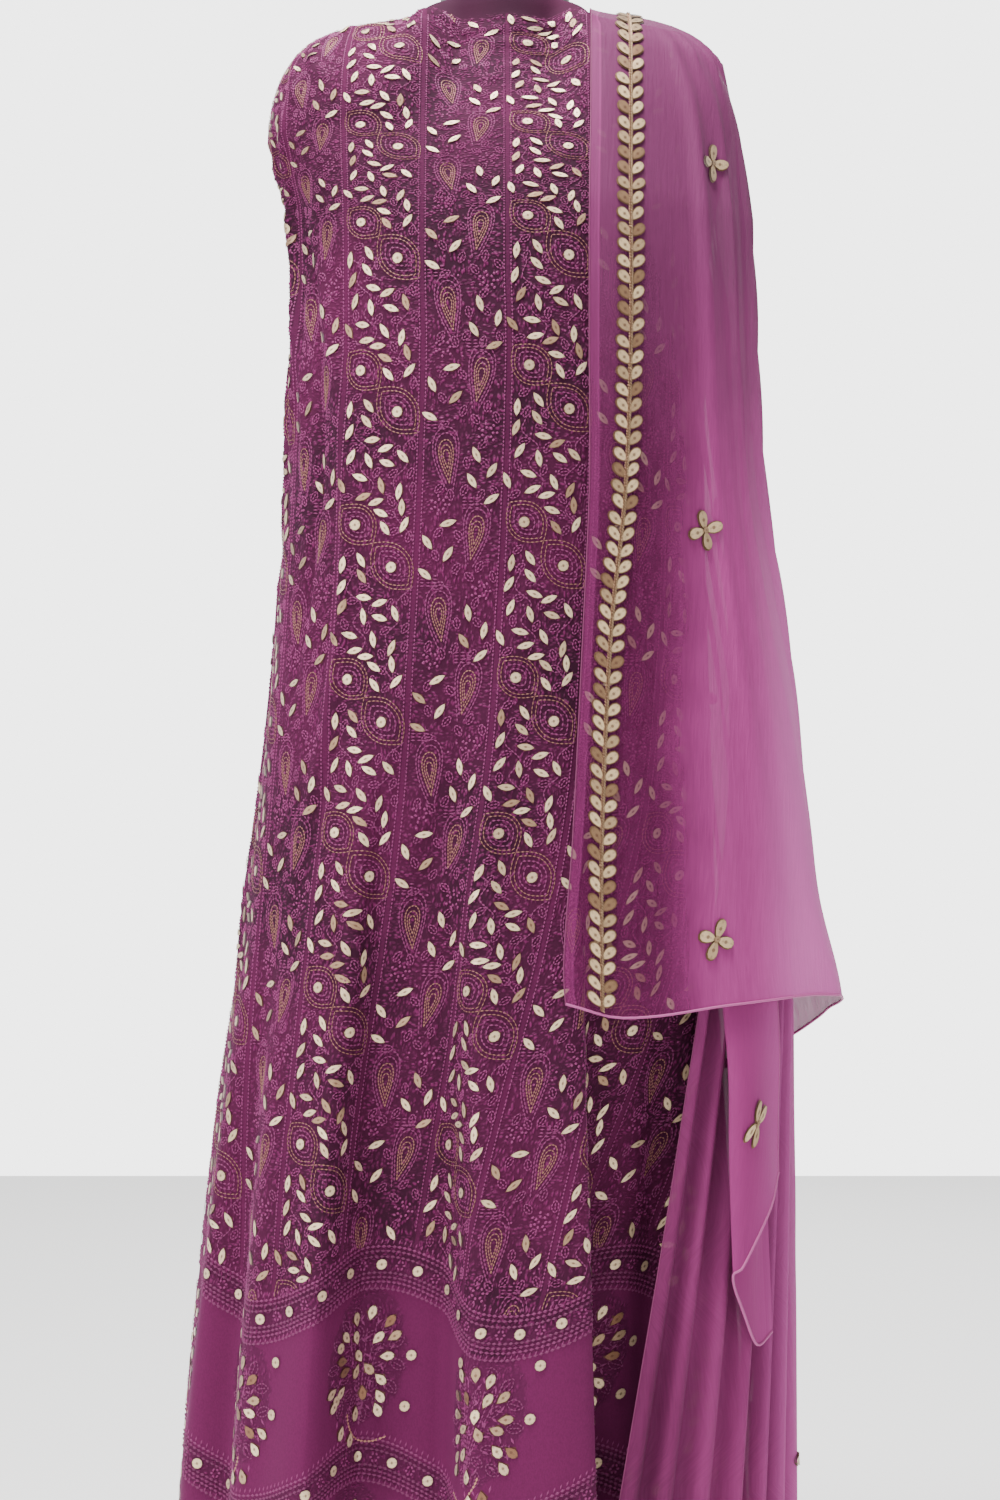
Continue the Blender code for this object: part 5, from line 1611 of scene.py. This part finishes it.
# Studio
studio = {
    "camera": (-0.004, -2.3, 0.805),
    "tall": 29.95,
    "world": 0.6,
    "backdrop": 4.0,
}
lights = (  # name, place, what it points at, size, power
    ("keyLight", (-2.2, -1.5, 1.7), (0, 0, 0.9), 0.9, 56),
    ("fillLight", (1.9, -1.6, 1.2), (0, 0, 0.7), 1.6, 5),
    ("backLight", (0.8, 2.6, 1.9), (0, 0, 0.8), 1.4, 30),
    ("topLight", (-0.2, -0.5, 3.0), (0, 0, 1.2), 0.9, 120),
)
floorMesh = bmesh.new()
bmesh.ops.create_grid(floorMesh, x_segments=8, y_segments=8, size=3.0)
mesh = bpy.data.meshes.new("floor")
floorMesh.to_mesh(mesh)
floorMesh.free()
floor = bpy.data.objects.new("floor", mesh)
bpy.context.scene.collection.objects.link(floor)
floor.data.materials.append(floorPaint())

world = bpy.data.worlds.new("studio")
bpy.context.scene.world = world
world.use_nodes = True
tree = world.node_tree
background = tree.nodes["Background"]
background.inputs[1].default_value = studio["world"]
bright = tree.nodes.new("ShaderNodeBackground")
bright.inputs[0].default_value, bright.inputs[1].default_value = (1.0, 1.0, 1.0, 1), studio["backdrop"]
background.inputs[0].default_value = (1.0, 1.0, 1.0, 1)
rays, either = tree.nodes.new("ShaderNodeLightPath"), tree.nodes.new("ShaderNodeMixShader")
tree.links.new(rays.outputs["Is Camera Ray"], either.inputs[0])
tree.links.new(background.outputs[0], either.inputs[1])
tree.links.new(bright.outputs[0], either.inputs[2])
tree.links.new(either.outputs[0], tree.nodes["World Output"].inputs[0])


def softLight(name, place, aim, size, power):
    data = bpy.data.lights.new(name, "AREA")
    data.shape, data.size, data.energy = "DISK", size, power
    lamp = bpy.data.objects.new(name, data)
    bpy.context.scene.collection.objects.link(lamp)
    lamp.location = place
    lamp.rotation_euler = (Vector(aim) - Vector(place)).to_track_quat("-Z", "Y").to_euler()


for light in lights:
    softLight(*light)

cameraData = bpy.data.cameras.new("camera")
cameraData.sensor_fit = "VERTICAL"
cameraData.angle = math.radians(studio["tall"])
camera = bpy.data.objects.new("camera", cameraData)
bpy.context.scene.collection.objects.link(camera)
camera.location = studio["camera"]
camera.rotation_euler = (math.pi / 2, 0, 0)
bpy.context.scene.camera = camera
